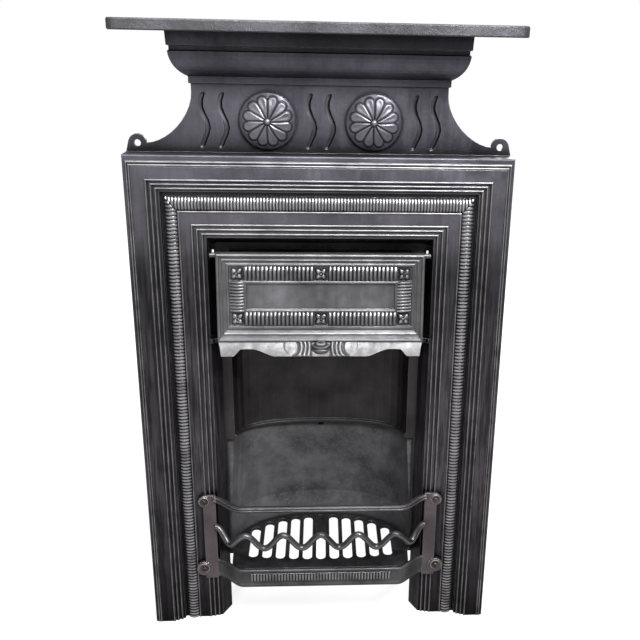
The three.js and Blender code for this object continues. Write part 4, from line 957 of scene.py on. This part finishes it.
def add_rail_flutes(material):
    """Rounded flutes along the front of the tray's rail."""
    half = BARS_STRAIGHT - RAIL_FLUTE_MARGIN
    columns = round(2 * half / RAIL_FLUTE_PITCH) * RIDGE_STEPS
    points, painted_light_and_wear = [], []
    for i in range(RAIL_FLUTE_ROWS):
        share = i / (RAIL_FLUTE_ROWS - 1)
        fade = min(1.0, 0.3 + 9 * share * (1 - share))
        for j in range(columns + 1):
            ridge = reed(j / RIDGE_STEPS)
            x = -half + 2 * half * j / columns
            back = RAIL_FACE - SKIN_GAP - RAIL_FLUTE_HEIGHT * ridge * fade
            points.append(at(x, back, RAIL_FLUTE_FOOT + RAIL_FLUTE_RISE * share))
            # painted highlight with wear on each flute's crest
            painted_light_and_wear.append(ridge ** 1.5 * fade)
    add_to_bars("rail_flutes", points, grid_faces(RAIL_FLUTE_ROWS, columns + 1), painted_light_and_wear, material)


# ---- Scene ----

def dress_solids():
    """Materials of the solids. Colours are the dark and light of each iron's clouding."""
    dress("surround", blacked_iron(
        "blacked_iron", (0.09, 0.088, 0.1), (0.17, 0.165, 0.184),
        wear=0.7, painted_height_shade=True, painted_deep_shade=True))
    dress("mantel_shelf", blacked_iron(
        "shelf_iron", (0.07, 0.069, 0.077), (0.14, 0.138, 0.152),
        wear=0.35, grain=0.0005, roughness=0.55))
    dress("fireback", blacked_iron(
        "fireback_iron", (0.022, 0.02, 0.021), (0.055, 0.05, 0.053),
        tint=(0.09, 0.07, 0.07)))
    dress("hood", blacked_iron(
        "hood_iron", (0.1, 0.099, 0.106), (0.24, 0.236, 0.25),
        tint_share=0.1, wear=1.0))
    dress("bottom_grate", blacked_iron(
        "grate_iron", (0.02, 0.02, 0.022), (0.05, 0.049, 0.052),
        roughness=0.6))
    dress("front_bars", blacked_iron(
        "bar_iron", (0.042, 0.04, 0.042), (0.115, 0.112, 0.117),
        tint=(0.13, 0.11, 0.11), wear=1.2,
        warm_sides=((0.088, 0.072, 0.077), (0.18, 0.152, 0.16))))
    dress("fire_brick", sooted_clay("sooted_clay"))
    steel = screw_steel("screw_steel")
    for node in NODES:
        if "bolt" in node or "screw" in node or "nut" in node:
            dress(node, steel)


def add_relief():
    """Relief of the castings, each kind in its own iron."""
    surround = blacked_iron(
        "relief_iron", (0.09, 0.088, 0.1), (0.19, 0.186, 0.2),
        wear=1.0, grain=0.0001, roughness=0.4, painted_height_shade=True, relief=True)
    border = blacked_iron(
        "hood_relief_iron", (0.06, 0.06, 0.064), (0.17, 0.168, 0.178),
        tint_share=0.1, wear=1.0, grain=0.0001, roughness=0.34, relief=True)
    apron = blacked_iron(
        "apron_iron", (0.075, 0.075, 0.079), (0.165, 0.163, 0.169),
        tint_share=0.05, wear=0.55, roughness=0.5, grain=0.0004, relief=True)
    bars = blacked_iron(
        "wave_bar_iron", (0.042, 0.04, 0.042), (0.115, 0.112, 0.117),
        wear=0.8, grain=0.0001, roughness=0.34, relief=True)
    scroll = blacked_iron(
        "scroll_iron", (0.08, 0.066, 0.072), (0.18, 0.155, 0.165),
        tint=(0.2, 0.15, 0.15), wear=0.9, grain=0.0001, relief=True)
    add_reeds(surround)
    add_beads(surround)
    add_rosettes(surround)
    add_gouges(surround)
    add_apron(apron)
    add_ball(apron)
    add_hood_flutes(border)
    add_hood_flowers(border)
    add_scrolls(scroll)
    add_wave_bar(bars)
    add_rail_flutes(bars)


def main():
    bpy.context.scene.view_settings.view_transform = "Standard"
    add_camera()
    add_world()
    add_floor()
    for lamp in LAMPS:
        add_lamp(*lamp)
    dress_solids()
    add_relief()


main()
